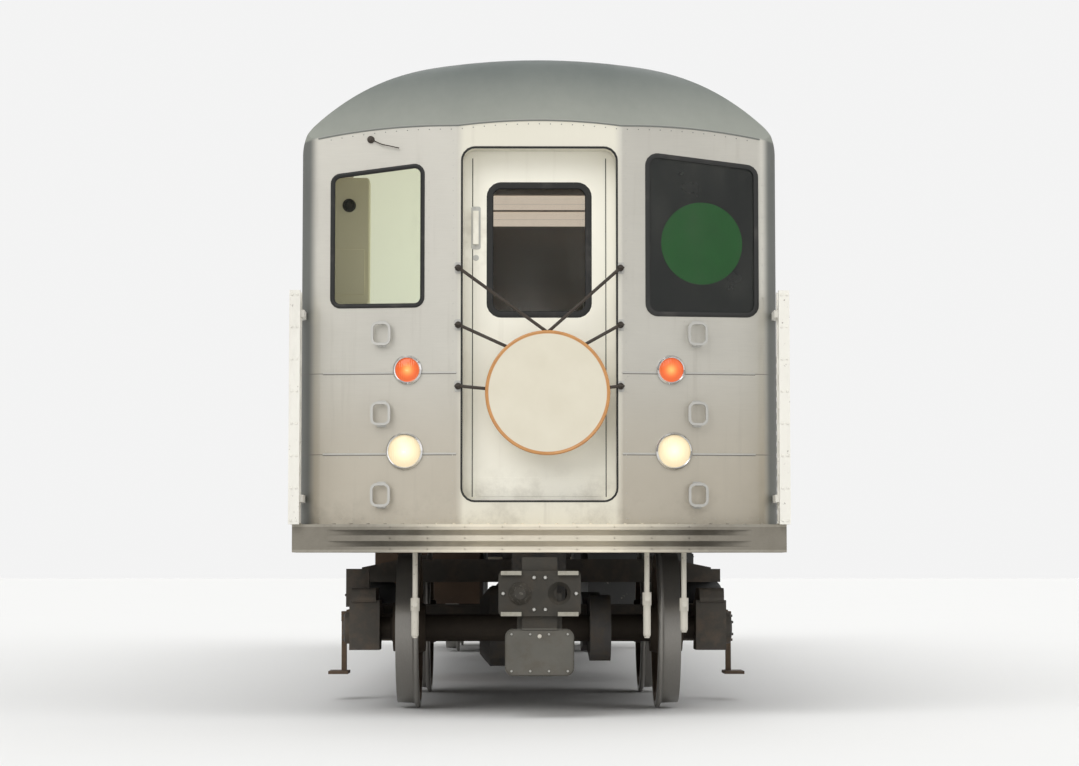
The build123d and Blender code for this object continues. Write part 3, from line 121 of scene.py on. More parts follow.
# One material: its shader and the patterns that the finishes share
class Finish(Nodes):
    def __init__(self, name, **constants):
        self.material = bpy.data.materials.new(name)
        self.material.use_nodes = True
        super().__init__(self.material.node_tree)
        self.shader = self.tree.nodes["Principled BSDF"]
        for socket, value in constants.items():
            self.shader.inputs[socket.replace("_", " ")].default_value = value
        self.place = self.node("ShaderNodeTexCoord", {}, {}, "Object")
        self.x, self.y, self.z = (
            self.node("ShaderNodeSeparateXYZ", {}, {0: self.place}, axis) for axis in "XYZ")

    # Noise that can be drawn out along an axis: stretch above 1 makes it finer that way
    def noise(self, scale, detail=3.0, roughness=0.55, stretch=(1, 1, 1), shift=0.0):
        where = self.node("ShaderNodeVectorMath", {"operation": "MULTIPLY_ADD"},
                          {0: self.place, 1: stretch, 2: (shift, shift, shift)})
        return self.node("ShaderNodeTexNoise", {},
                         {"Vector": where, "Scale": scale, "Detail": detail, "Roughness": roughness})

    def cells(self, scale):
        return self.node("ShaderNodeTexVoronoi", {}, {"Vector": self.place, "Scale": scale}, "Distance")

    # 1 inside a narrow band round the middle, 0 outside
    def band(self, value, middle, half, soft):
        return self.step(abs(value - middle), half + soft, half)

    # Up to half a period and down again
    def repeat(self, value, period):
        return self.node("ShaderNodeMath", {"operation": "PINGPONG"}, {0: value, 1: period / 2})

    # From the first colour to the second
    def tint(self, factor, first, second):
        colours = [c if isinstance(c, Signal) else (*c, 1) for c in (first, second)]
        return self.node("ShaderNodeMix", {"data_type": "RGBA"}, {0: factor, 6: colours[0], 7: colours[1]}, 2)

    # Distance from a point, or from a line where an axis is 0
    def radius(self, middle, axes=(0, 1, 1)):
        gap = self.node("ShaderNodeVectorMath", {"operation": "SUBTRACT"}, {0: self.place, 1: middle})
        flat = self.node("ShaderNodeVectorMath", {"operation": "MULTIPLY"}, {0: gap, 1: axes})
        return self.node("ShaderNodeVectorMath", {"operation": "LENGTH"}, {0: flat}, "Value")

    def feed(self, socket, signal):
        self.tree.links.new(signal.socket, self.shader.inputs[socket])

    # Colour, roughness, and the height of the relief with its depth and strength
    def surface(self, colour, rough, height, depth, strength):
        self.feed("Base Color", colour)
        self.feed("Roughness", rough)
        sockets = {"Strength": strength, "Distance": depth, "Height": height}
        self.feed("Normal", self.node("ShaderNodeBump", {}, sockets, "Normal"))
        return self.material


def shade(tone, factor):
    return tuple(min(1, c * factor) for c in tone)


# Stainless panels: brushed along the car, with rain streaks, wiped patches and brake dust low down
def brushedSteel(name, tone, dust=0.5, metallic=0.85):
    f = Finish(name, Metallic=metallic, IOR=1.5)
    brush = f.noise(30, 4, 0.6, (6, 0.12, 6))
    fine = f.noise(160, 2, 0.5, (5, 0.05, 5))
    streak = f.noise(5, 4, 0.6, (2.2, 2.2, 0.12))
    patch = f.noise(0.9, 3, 0.5)
    low = f.step(f.z, 1.85, 0.90)
    dirt = low * (0.25 + f.step(f.noise(7, 5, 0.7, (1, 1, 0.35)), 0.36, 0.80) * 0.5) * dust
    runs = f.step(streak, 0.52, 0.78) * 0.35 * dust
    base = f.tint(brush * 0.6 + patch * 0.4, shade(tone, 0.84), shade(tone, 1.12))
    base = f.tint(runs, base, (0.34, 0.32, 0.29))
    return f.surface(f.tint(dirt, base, (0.20, 0.17, 0.14)),
                     0.27 + brush * 0.10 + patch * 0.08 + dirt * 0.35 + runs * 0.2,
                     brush * 0.6 + fine * 0.4, 0.0006, 0.5)


# Satin paint with orange peel, dust in the corners and chips that show the primer
def satinPaint(name, tone, rough=0.38, dust=0.4, chips=0.0, dustTone=(0.22, 0.19, 0.16)):
    f = Finish(name, Coat_Roughness=0.3)
    cloud = f.noise(1.3, 4, 0.6)
    mottle = f.noise(14, 4, 0.6)
    grime = f.step(f.noise(2.4, 6, 0.7, (1.6, 1.6, 0.35)), 0.50, 0.80) * dust
    base = f.tint(cloud * 0.6 + mottle * 0.4, shade(tone, 0.90), tone)
    base = f.tint(grime, base, dustTone)
    if chips:
        worn = f.step(f.noise(38, 5, 0.7), 0.70 - chips * 0.1, 0.73 - chips * 0.1)
        base = f.tint(worn, base, (0.30, 0.27, 0.24))
        relief = (f.noise(220, 2) * 0.3 - worn * 0.7, 0.0008, 0.6)
    else:
        relief = (f.noise(220, 2) * 0.4 + mottle * 0.6, 0.0005, 0.5)
    return f.surface(base, rough + grime * 0.4 + mottle * 0.08, *relief)


# Cast or rolled iron under the floor: brown dust on dark metal, oil where it runs down
def sootyIron(name, tone=(0.075, 0.068, 0.06), bare=0.0, oil=0.3):
    f = Finish(name, Metallic=0.35)
    grain = f.noise(55, 5, 0.7)
    cloud = f.noise(4, 5, 0.65)
    dust = f.step(f.noise(9, 6, 0.7), 0.42, 0.72)
    wet = f.step(f.noise(3, 4, 0.6, (1.5, 1.5, 0.4), 3.1), 0.58, 0.75) * oil
    base = f.tint(cloud, shade(tone, 0.7), shade(tone, 1.5))
    base = f.tint(dust * 0.55, base, (0.20, 0.155, 0.115))
    base = f.tint(wet, base, (0.018, 0.016, 0.014))
    if bare:
        base = f.tint(f.step(grain, 0.60, 0.72) * bare, base, (0.42, 0.40, 0.37))
    return f.surface(base, 0.62 + dust * 0.25 - wet * 0.4, grain * 0.6 + dust * 0.4, 0.0016, 0.8)


# Nose bar: worn along its ribs, a painted highlight on its flat middle, painted shade in the grooves and grime
# towards its ends
def noseFinish(name):
    f = Finish(name)
    scratch = f.noise(80, 5, 0.7, (0.15, 3, 3))
    haze = f.noise(5, 5, 0.65)
    fromMiddle = abs(f.z - (car["deck"] - 0.075))    # height from the middle rib
    # painted shade: dark bands at the grooves' heights, also where the bar is flat
    grooveShade = f.band(fromMiddle, 0.017, 0.043, 0.003) * f.step(abs(f.x), 1.345, 1.338)
    # painted highlight: the flat middle is painted pale cream with less metal, the swept ends dark grey
    middle = f.step(abs(f.x), 0.95, 0.30)
    grime = f.step(haze, 0.38, 0.70) * (1 - middle * 0.7)
    base = f.tint(middle, f.tint(scratch, (0.27, 0.250, 0.205), (0.40, 0.375, 0.320)),
                  f.tint(scratch, (0.76, 0.69, 0.55), (0.88, 0.81, 0.66)))
    base = f.tint(grime * 0.45, base, (0.15, 0.13, 0.10))
    grooveShade = grooveShade * (1 - middle * 0.6)
    f.feed("Metallic", 0.65 - grooveShade * 0.4 - grime * 0.2 - middle * 0.25)
    return f.surface(f.tint(grooveShade * 0.60, base, (0.12, 0.105, 0.08)),
                     0.30 + haze * 0.12 + grime * 0.25 + grooveShade * 0.2, scratch * 0.6 + haze * 0.4, 0.0006, 0.5)


# Coupler: dark worn casting, bright guides at the corners of its face, grey plug box below
def couplerIron(name):
    f = Finish(name)
    grain = f.noise(60, 5, 0.7)
    cloud = f.noise(5, 5, 0.65)
    dust = f.step(f.noise(11, 6, 0.7), 0.42, 0.70)
    ahead = f.step(abs(f.y), car["couplerY"] + 0.003, car["couplerY"] + 0.007)
    guide = ahead * f.step(abs(f.z - car["couplerZ"]), 0.090, 0.095)
    box = f.step(f.z, 0.484, 0.480) * f.step(abs(f.y), 7.55, 7.56)
    base = f.tint(cloud, (0.018, 0.016, 0.012), (0.052, 0.046, 0.035))
    base = f.tint(box, base, f.tint(cloud, (0.080, 0.076, 0.064), (0.130, 0.123, 0.104)))
    base = f.tint(dust * 0.25, base, (0.12, 0.095, 0.07))
    bright = ahead * f.step(grain, 0.52, 0.66)
    base = f.tint(guide * 0.9, base, f.tint(grain, (0.22, 0.205, 0.165), (0.52, 0.495, 0.42)))
    f.feed("Metallic", 0.25 + bright * 0.6)
    return f.surface(f.tint(bright * 0.30, base, (0.36, 0.34, 0.30)), 0.58 + dust * 0.25 - bright * 0.25,
                     grain * 0.6 + dust * 0.4, 0.0014, 0.8)


# Metal without paint: haze and fine scratches
def bareMetal(name, tone, rough, worn):
    f = Finish(name, Metallic=1.0)
    scratch = f.noise(70, 5, 0.7, (1, 3, 1))
    haze = f.noise(6, 4, 0.6)
    return f.surface(f.tint(haze * 0.7 + scratch * 0.3, shade(tone, 0.75), tone),
                     rough + haze * 0.15 + scratch * worn * 0.4, scratch, 0.0004, 0.4)


# Rubber with dust in its bloom
def rubberBlack(name, tone=(0.022, 0.022, 0.021), rough=0.55):
    f = Finish(name, Specular_IOR_Level=0.35)
    bloom = f.noise(7, 5, 0.6)
    dust = f.step(bloom, 0.5, 0.8)
    return f.surface(f.tint(dust * 0.4, tone, (0.11, 0.10, 0.09)), rough + bloom * 0.2,
                     f.noise(260, 3, 0.6), 0.0004, 0.6)


# Window glass: faint green, film of dust, strong gloss at a low angle
def windowGlass(name, tone, clear):
    f = Finish(name, IOR=1.5)
    edge = f.node("ShaderNodeFresnel", {}, {0: 1.5})
    film = f.step(f.noise(2.2, 5, 0.65, (1, 1, 0.5)), 0.45, 0.85)
    f.feed("Alpha", clear + edge * 0.8 + film * 0.08)
    return f.surface(f.tint(film * 0.6, tone, (0.36, 0.35, 0.31)), 0.03 + film * 0.12,
                     f.noise(1.6, 2), 0.0015, 0.15)


# Fluted lens, hottest at its middle; centre is (place, height)
def lampLens(name, tone, glow, centre, reach, hot):
    f = Finish(name, IOR=1.5, Emission_Strength=glow)
    middle = f.radius((0, 0, centre[1]), (0, 0, 1))
    across = abs(abs(f.x) - centre[0])
    spread = (middle * middle + across * across) ** 0.5
    core = f.step(spread, reach, 0.0)
    flute = f.repeat(f.x, 0.012) / 0.006
    f.feed("Emission Color", f.tint(core * core, tone, hot))
    return f.surface(f.tint(core, shade(tone, 0.6), tone), 0.10 + flute * 0.06, flute, 0.0012, 0.6)


# Sign box behind its glass: rows of dark cells
def blackDisplay(name):
    f = Finish(name, IOR=1.5, Coat_Weight=1.0, Coat_Roughness=0.04)
    smear = f.noise(3, 4, 0.6)
    dots = f.cells(130)
    return f.surface(f.tint(f.step(dots, 0.35, 0.2) * 0.5, (0.010, 0.010, 0.011), (0.028, 0.026, 0.028)),
                     0.22 + smear * 0.15, dots, 0.0003, 0.3)


# Green disc, faintly lit, with a fine grid of dots
def litDisc(name, glow):
    f = Finish(name, Coat_Weight=0.12, Coat_Roughness=0.2, Specular_IOR_Level=0.25, Emission_Strength=glow)
    mottle = f.noise(9, 4, 0.6)
    dots = f.step(f.cells(110), 0.42, 0.22)
    tone = f.tint(mottle, (0.022, 0.128, 0.028), (0.040, 0.205, 0.050))
    f.feed("Emission Color", f.tint(dots, (0.020, 0.110, 0.028), tone))
    return f.surface(tone, 0.35 + mottle * 0.1, dots, 0.0003, 0.3)


# Cream enamel with a rolled edge painted orange-brown
def boardEnamel(name, centre, faceRadius):
    f = Finish(name, Coat_Weight=0.4, Coat_Roughness=0.2)
    out = f.radius(centre, (1, 0, 1))
    cloud = f.noise(6, 4, 0.6)
    rim = f.step(out, faceRadius - 0.004, faceRadius - 0.001)
    rust = f.step(f.noise(18, 5, 0.7), 0.66, 0.80) * f.step(out, faceRadius - 0.06, faceRadius)
    face = f.tint(cloud, (0.62, 0.572, 0.45), (0.70, 0.655, 0.535))
    face = f.tint(rust * 0.5, face, (0.45, 0.26, 0.10))
    edge = f.tint(f.noise(16, 4, 0.6), (0.42, 0.17, 0.045), (0.60, 0.30, 0.09))
    return f.surface(f.tint(rim, face, edge), 0.32 + cloud * 0.12,
                     cloud * 0.5 + f.noise(120, 3) * 0.5, 0.0006, 0.5)


# Moulded plastic with specks, dull where it is sat on
def seatPlastic(name, tone):
    f = Finish(name, IOR=1.5, Coat_Weight=0.3, Coat_Roughness=0.25)
    speck = f.cells(420)
    wear = f.step(f.noise(5, 5, 0.6), 0.5, 0.8)
    base = f.tint(f.step(speck, 0.3, 0.15) * 0.35, tone, tuple(min(1, c * 1.6 + 0.08) for c in tone))
    return f.surface(f.tint(wear * 0.35, base, shade(tone, 0.6)), 0.30 + wear * 0.25, speck, 0.0004, 0.4)


# Dark speckled rubber, scuffed along the middle
def floorRubber(name):
    f = Finish(name)
    speck = f.step(f.cells(190), 0.28, 0.16)
    path = f.step(abs(f.x), 0.75, 0.35)
    scuff = f.step(f.noise(7, 5, 0.7, (1, 0.4, 1)), 0.5, 0.75) * path
    base = f.tint(speck, (0.035, 0.035, 0.036), (0.26, 0.25, 0.23))
    return f.surface(f.tint(scuff * 0.5, base, (0.16, 0.15, 0.13)), 0.45 + scuff * 0.3,
                     speck * 0.4 + f.noise(60, 3) * 0.6, 0.0006, 0.5)


# Ribbed covers with the tubes' glow behind them
def lightDiffuser(name, glow):
    f = Finish(name, Emission_Strength=glow)
    ribs = f.repeat(f.y, 0.03) / 0.015
    tubes = f.step(abs(abs(f.x) - 0.9), 0.07, 0.0)
    f.feed("Emission Color", f.tint(tubes, (0.75, 0.80, 0.72), (1.0, 1.0, 0.92)))
    return f.surface(f.tint(tubes, (0.80, 0.80, 0.74), (0.95, 0.95, 0.90)), 0.4 + ribs * 0.1, ribs, 0.001, 0.5)


# Flecked sheets with joints along the car; lit makes them glow in their own colour, painted light on parts that
# are no lamps
def laminate(name, tone, seam=1.2, lit=0.0):
    f = Finish(name, IOR=1.5, Emission_Strength=lit)
    cloud = f.noise(2, 4, 0.6)
    fleck = f.noise(240, 2)
    joint = f.band(f.repeat(f.y, seam), 0.0, 0.003, 0.003)
    base = f.tint(cloud * 0.5 + fleck * 0.5, shade(tone, 0.9), tone)
    base = f.tint(joint, base, (0.25, 0.24, 0.22))
    f.feed("Emission Color", base)
    return f.surface(base, 0.38 + cloud * 0.15, fleck * 0.3 - joint, 0.001, 0.5)


# Cab walls: inside the cab a paler, bluer colour that glows as painted light, though the walls are no lamps;
# plain laminate with a steel kick strip towards the saloon
def cabLaminate(name, tone, lit):
    f = Finish(name, IOR=1.5, Emission_Strength=lit)
    cloud = f.noise(2, 4, 0.6)
    fleck = f.noise(240, 2)
    inside = (f.step(f.x * f.y, 0.0, 0.01) * f.step(abs(f.x), car["cabSide"] - 0.001, car["cabSide"])
              * f.step(abs(f.y), car["cabBack"] - 0.001, car["cabBack"]))
    above = f.z - car["floorTop"]
    kick = f.step(above, 0.203, 0.200) * (1 - inside)
    lap = f.band(above, 0.205, 0.0015, 0.002)
    scuff = f.step(f.noise(7, 5, 0.7), 0.45, 0.75) * f.step(above, 0.9, 0.0)
    plain = f.tint(cloud * 0.5 + fleck * 0.5, (0.56, 0.555, 0.49), (0.64, 0.635, 0.57))
    # painted light: the paler copy of the laminate for the cab's inside, which also glows
    bright = f.tint(cloud * 0.5 + fleck * 0.5, shade(tone, 0.9), tone)
    base = f.tint(inside, plain, bright)
    base = f.tint(scuff * 0.3, base, (0.30, 0.28, 0.24))
    base = f.tint(kick, base, f.tint(fleck, (0.36, 0.35, 0.33), (0.46, 0.45, 0.42)))
    base = f.tint(lap, base, (0.12, 0.115, 0.105))
    f.feed("Metallic", kick * 0.7)
    f.feed("Emission Color", f.tint(inside, (0.0, 0.0, 0.0), base))
    return f.surface(base, 0.38 + cloud * 0.15 + scuff * 0.1, fleck * 0.3 - lap, 0.001, 0.5)


# Wheels: bright tread and flange, brown dusty disc, oily hub
def wheelSteel(name, centreY):
    f = Finish(name, Metallic=0.7)
    out = f.radius((0, centreY, car["axleZ"]))
    tread = f.step(out, 0.418, 0.426)
    ring = f.noise(9, 5, 0.7)
    scratch = f.noise(140, 3, 0.6, (6, 0.4, 0.4))
    hub = f.step(out, 0.17, 0.12)
    body = f.tint(ring, (0.085, 0.062, 0.045), (0.19, 0.145, 0.105))
    body = f.tint(hub * 0.7, body, (0.03, 0.027, 0.024))
    return f.surface(f.tint(tread, body, f.tint(scratch, (0.20, 0.19, 0.175), (0.33, 0.315, 0.29))),
                     0.72 - tread * 0.46 + scratch * 0.12, ring * 0.6 + scratch * 0.4, 0.0012, 0.6)


# Dark oiled beams of the shoe gear
def hardwood(name):
    f = Finish(name)
    grain = f.noise(26, 5, 0.65, (1, 0.06, 1))
    return f.surface(f.tint(grain, (0.045, 0.030, 0.018), (0.16, 0.105, 0.062)), 0.6 + grain * 0.25,
                     grain, 0.0015, 0.8)


# Heat-browned strips with paler edges
def gridIron(name):
    f = Finish(name, Metallic=0.6)
    heat = f.noise(3, 4, 0.6)
    scale = f.noise(60, 5, 0.7)
    base = f.tint(heat, (0.06, 0.045, 0.035), (0.20, 0.13, 0.085))
    return f.surface(f.tint(f.step(scale, 0.6, 0.75) * 0.5, base, (0.32, 0.27, 0.22)), 0.55 + scale * 0.3,
                     scale, 0.001, 0.7)


# Roof paint: grey-green, soot along the middle, wash marks down the slopes
def roofPaint(name):
    f = Finish(name, Metallic=0.15)
    cloud = f.noise(1.1, 5, 0.6)
    wash = f.noise(5, 5, 0.65, (0.25, 2.2, 0.25))
    soot = f.step(f.z, 3.40, 3.66) * f.step(f.noise(4.5, 6, 0.7, (1.6, 0.5, 1)), 0.30, 0.78)
    sheet = f.band(f.repeat(f.y, 1.90), 0.0, 0.004, 0.004)
    base = f.tint(cloud * 0.5 + wash * 0.5, (0.100, 0.118, 0.114), (0.175, 0.198, 0.188))
    base = f.tint(soot * 0.40, base, (0.065, 0.068, 0.066))
    return f.surface(f.tint(sheet * 0.7, base, (0.08, 0.08, 0.08)), 0.50 + wash * 0.2 + soot * 0.1,
                     f.noise(90, 4) * 0.5 + cloud * 0.5 - sheet, 0.0014, 0.6)


# End mask: warm grey stainless below the lip, roof paint on the bonnet above it, painted shade down its corners
def maskFinish(name):
    f = Finish(name, IOR=1.5)
    depth = f.node("ShaderNodeMapRange", {}, {0: abs(f.x), 1: car["faceFlat"], 2: car["faceFlat"] + 0.9,
                                              3: 0.0, 4: 0.9 * math.tan(car["faceSweep"])})
    height = f.radius((0, 0, car["lipAxis"]), (1, 0, 1)) - car["lipRadius"] - depth * car["lipRise"]
    above = f.step(height, -0.003, 0.010)
    grade = f.step(height, -0.04, 0.46)
    middle = f.step(abs(f.x), 0.46, 0.40)
    # painted shade: a dark band with less metal down the corners, where the face turns to the side
    corner = f.step(abs(f.x), 1.215, 1.262)
    brush = f.noise(34, 4, 0.6, (0.25, 0.25, 7))
    cloud = f.noise(1.6, 4, 0.6)
    streak = f.noise(6, 5, 0.65, (2.4, 2.4, 0.13))
    edge = f.step(f.z, 1.30, 1.04) * f.step(f.noise(5, 5, 0.7), 0.4, 0.7)
    seam = f.band(f.z, car["seams"][0], 0.0016, 0.0016) + f.band(f.z, car["seams"][1], 0.0016, 0.0016)
    seam = seam * f.step(abs(f.x), 0.44, 0.46)
    sheet = f.tint(brush * 0.45 + cloud * 0.55, (0.490, 0.472, 0.422), (0.640, 0.618, 0.555))
    warm = f.tint(cloud, (0.42, 0.372, 0.295), (0.54, 0.49, 0.40))
    sheet = f.tint(f.step(f.z, 2.05, 1.25) * 0.8, sheet, warm)
    cream = f.tint(cloud * 0.7 + streak * 0.3, (0.66, 0.63, 0.53), (0.75, 0.72, 0.615))
    sheet = f.tint(middle, sheet, cream)
    sheet = f.tint(f.step(streak, 0.54, 0.80) * 0.30, sheet, (0.36, 0.33, 0.28))
    sheet = f.tint(edge * 0.35, sheet, (0.25, 0.22, 0.18))
    sheet = f.tint(corner * 0.90, sheet, f.tint(cloud, (0.075, 0.082, 0.078), (0.150, 0.158, 0.148)))
    sheet = f.tint(seam * 0.75, sheet, (0.16, 0.15, 0.14))
    wash = f.noise(2.0, 5, 0.6) * 0.6 + streak * 0.4
    paint = f.tint(grade, f.tint(wash, (0.215, 0.228, 0.200), (0.305, 0.315, 0.275)),
                   f.tint(wash, (0.074, 0.090, 0.086), (0.138, 0.158, 0.146)))
    f.feed("Metallic", (1 - above) * (1 - middle * 0.75) * (1 - corner * 0.7) * 0.62)
    return f.surface(f.tint(above, sheet, paint),
                     0.30 + brush * 0.10 + cloud * 0.06 + above * 0.20 + edge * 0.2 + middle * 0.08,
                     brush * (1 - above) * 0.5 + f.noise(150, 3) * 0.4 - seam * 1.5, 0.0006, 0.5)


# Cream paint of the sliding end door: streaks, hand marks round the latch, scuffs low down
def creamDoor(name):
    f = Finish(name, IOR=1.5, Coat_Weight=0.15, Coat_Roughness=0.3)
    cloud = f.noise(1.8, 4, 0.6)
    streak = f.noise(7, 5, 0.65, (2.4, 2.4, 0.12))
    hand = f.step(f.radius((-0.35, 0, 2.60), (1, 0, 0.7)), 0.22, 0.05) * f.step(f.noise(12, 4), 0.4, 0.7)
    kick = f.step(f.z, 1.42, 1.20) * f.step(f.noise(6, 5, 0.7), 0.42, 0.7)
    # painted light: the cream is paler than the paint, to offset the shade in the door's recess
    base = f.tint(cloud, (0.90, 0.87, 0.75), (0.96, 0.93, 0.82))
    base = f.tint(f.step(streak, 0.55, 0.80) * 0.18, base, (0.56, 0.51, 0.41))
    base = f.tint(kick * 0.28, base, (0.36, 0.32, 0.25))
    return f.surface(f.tint(hand * 0.30, base, (0.46, 0.41, 0.32)), 0.34 + cloud * 0.1 + kick * 0.3,
                     f.noise(200, 3) * 0.5 + cloud * 0.5, 0.0006, 0.5)


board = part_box("headboard")
boardCentre = (board[0] + board[1]) / 2
boardRadius = (board[1].x - board[0].x) / 2
finishes = {
    "steelSide": brushedSteel("steel_side", (0.60, 0.60, 0.58)),
    "steelFlutes": brushedSteel("steel_flutes", (0.57, 0.57, 0.55), 0.9),
    "steelLeaf": brushedSteel("steel_leaf", (0.58, 0.58, 0.56), 0.7),
    "noseMetal": noseFinish("nose_metal"),
    "chrome": bareMetal("chrome", (0.80, 0.80, 0.80), 0.06, 0.1),
    "poleSteel": bareMetal("pole_steel", (0.66, 0.66, 0.64), 0.18, 0.2),
    "stepSteel": bareMetal("step_steel", (0.60, 0.59, 0.555), 0.38, 0.5),
    "mask": maskFinish("mask_panel"),
    "door": creamDoor("door_cream"),
    "roof": roofPaint("roof_paint"),
    "glass": windowGlass("window_glass", (0.050, 0.058, 0.048), 0.10),
    "display": blackDisplay("black_display"),
    "disc": litDisc("green_disc", 0.30),
    "headLens": lampLens("head_lens", (0.80, 0.66, 0.42), 0.58, (0.73, 1.435), 0.10, (1.0, 0.92, 0.72)),
    "tailLens": lampLens("tail_lens", (0.62, 0.105, 0.022), 0.8, (0.715, 1.876), 0.060, (1.0, 0.55, 0.16)),
    "board": boardEnamel("board_enamel", boardCentre, boardRadius - 0.016),
    "strap": rubberBlack("strap_rubber", (0.045, 0.035, 0.027), 0.5),
    "rubber": rubberBlack("seal_rubber"),
    "gate": satinPaint("gate_cream", (0.82, 0.80, 0.73), 0.36, 0.3, 0.5),
    "frame": sootyIron("frame_steel", (0.06, 0.058, 0.055)),
    "bogie": sootyIron("bogie_steel", (0.070, 0.062, 0.052)),
    "motor": sootyIron("motor_case", (0.09, 0.085, 0.08), 0.0, 0.6),
    "coupler": couplerIron("coupler_iron"),
    "pipe": satinPaint("pipe_paint", (0.56, 0.53, 0.46), 0.55, 0.9, 0.5, (0.20, 0.17, 0.13)),
    "cases": satinPaint("case_paint", (0.10, 0.10, 0.098), 0.55, 0.8, 0.6, (0.20, 0.16, 0.12)),
    "grid": gridIron("grid_iron"),
    "shoeWood": hardwood("shoe_wood"),
    "spring": rubberBlack("spring_rubber", (0.03, 0.03, 0.03), 0.6),
    "seat": seatPlastic("seat_plastic", (0.62, 0.17, 0.035)),
    "floor": floorRubber("floor_rubber"),
    "ceiling": laminate("ceiling_panel", (0.44, 0.345, 0.255)),
    # painted light: the cab walls glow inside the cab
    "cabWall": cabLaminate("cab_wall", (0.76, 0.79, 0.65), 0.72),
    "lights": lightDiffuser("light_diffuser", 0.9),
    "console": satinPaint("console_grey", (0.22, 0.24, 0.24), 0.45, 0.3, 0.4),
    "faceTrim": brushedSteel("face_trim", (0.55, 0.54, 0.50), 0.3, 0.6),
    "sideTrim": bareMetal("side_trim", (0.60, 0.60, 0.58), 0.30, 0.4),
    "bonnetTrim": satinPaint("bonnet_trim", (0.17, 0.18, 0.165), 0.45, 0.4),
    "roofTrim": satinPaint("roof_trim", (0.150, 0.170, 0.162), 0.50, 0.7),
    "blankPlate": satinPaint("blank_plate", (0.030, 0.034, 0.038), 0.32, 0.2),
    "amber": satinPaint("amber_lens", (0.60, 0.22, 0.03), 0.18, 0.15),
    # painted light: the ceiling bands glow, though they are no lamps
    "bandGlow": laminate("ceiling_band", (0.84, 0.72, 0.58), 0.4, 0.80),
    # painted light: the cabinet glows faintly, though it is no lamp
    "cabinet": laminate("cabinet_beige", (0.70, 0.65, 0.44), 2.0, 0.16),
    "seamShade": satinPaint("seam_shade", (0.17, 0.16, 0.145), 0.60, 0.4),
}
print("finishes made:", len(finishes))

# The finish that each node of the model wears, by the start of its name; the first that fits is taken
dressing = {
    "end_mask": "mask", "side_wall": "steelSide", "fluted_panels": "steelFlutes", "door_leaves": "steelLeaf",
    "anticlimbers": "noseMetal", "underframe": "frame", "roof": "roof", "side_glass": "glass",
    "end_glass": "glass", "door_glass": "glass", "end_door_glass": "glass", "end_door": "door",
    "sign_boxes": "display", "route_discs": "disc", "lamp_bezels": "chrome", "headlamp_lenses": "headLens",
    "tail_lamp_lenses": "tailLens", "step_loops": "stepSteel", "headboard": "board", "safety_chains": "strap",
    "pantograph_gates": "gate", "ceiling": "ceiling", "cab_partitions": "cabWall", "cab_door": "cabWall",
    "cab_consoles": "console", "light_strips": "lights", "floor_covering": "floor", "bench_seats": "seat",
    "grab_poles": "poleSteel", "equipment_cases": "cases", "air_equipment": "cases", "resistor_grids": "grid",
    "bogie_frame": "bogie", "bogie_springs": "spring", "traction_motors": "motor", "shoe_gear": "shoeWood",
    "coupler": "coupler", "end_pipes": "pipe",
}
for number, place in enumerate(car["axles"], 1):
    finishes[f"wheel{number}"] = wheelSteel(f"wheel_steel_{number}", place)
    dressing[f"wheelset_{number}"] = f"wheel{number}"
for name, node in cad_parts.items():
    finish = next(finish for start, finish in dressing.items() if name.startswith(start))
    for slot in node.material_slots:
        slot.material = finishes[finish]
print("nodes dressed")

once = (Matrix(),)
bothEnds = (Matrix(), Matrix.Rotation(math.pi, 4, "Z"))


# Outlines are lists of flat points, turning left as seen from outside
def rounded(points, radius, steps=5):
    found = []
    for spot, point in enumerate(points):
        corner = Vector(point)
        before = (Vector(points[spot - 1]) - corner).normalized()
        after = (Vector(points[(spot + 1) % len(points)]) - corner).normalized()
        half = before.angle(after) / 2
        centre = corner + (before + after).normalized() * (radius / math.sin(half))
        first = corner + before * (radius / math.tan(half)) - centre
        last = corner + after * (radius / math.tan(half)) - centre
        found += [centre + first.lerp(last, step / steps).normalized() * radius for step in range(steps + 1)]
    area = sum(a.x * b.y - b.x * a.y for a, b in zip(found, found[1:] + found[:1]))
    return found if area > 0 else found[::-1]


# A rectangle with round corners
def oblong(width, height, radius, middle=(0, 0), steps=5):
    x, y = middle
    w, h = width / 2, height / 2
    return rounded([(x - w, y - h), (x + w, y - h), (x + w, y + h), (x - w, y + h)], radius, steps)


# The outline moved outwards
def grown(points, amount):
    found = []
    for spot, point in enumerate(points):
        first = (point - points[spot - 1]).normalized()
        second = (points[(spot + 1) % len(points)] - point).normalized()
        out = Vector((first.y + second.y, -first.x - second.x)).normalized()
        found.append(point + out * (amount / max(0.5, out.dot(Vector((second.y, -second.x))))))
    return found


# A place is a matrix whose axes run across, up and out of a surface
def placeOf(origin, across, out):
    up = Vector(out).cross(Vector(across))
    matrix = Matrix((Vector(across), up, Vector(out))).transposed().to_4x4()
    matrix.translation = origin
    return matrix


def frontPlace(x, y, z):
    return placeOf((x, y, z), (1, 0, 0), (0, -1, 0))


def sweptBack(x):
    return max(0, abs(x) - car["faceFlat"]) * math.tan(car["faceSweep"])


def facePlace(x, z):
    side = math.copysign(1, x)
    lean = car["faceSweep"] if abs(x) > car["faceFlat"] else 0
    return placeOf((x, car["faceY"] + sweptBack(x), z), (math.cos(lean), side * math.sin(lean), 0),
                   (side * math.sin(lean), -math.cos(lean), 0))


def sidePlace(side, y, z, x=None):
    return placeOf((side * (car["wallX"] if x is None else x), y, z), (0, side, 0), (side, 0, 0))


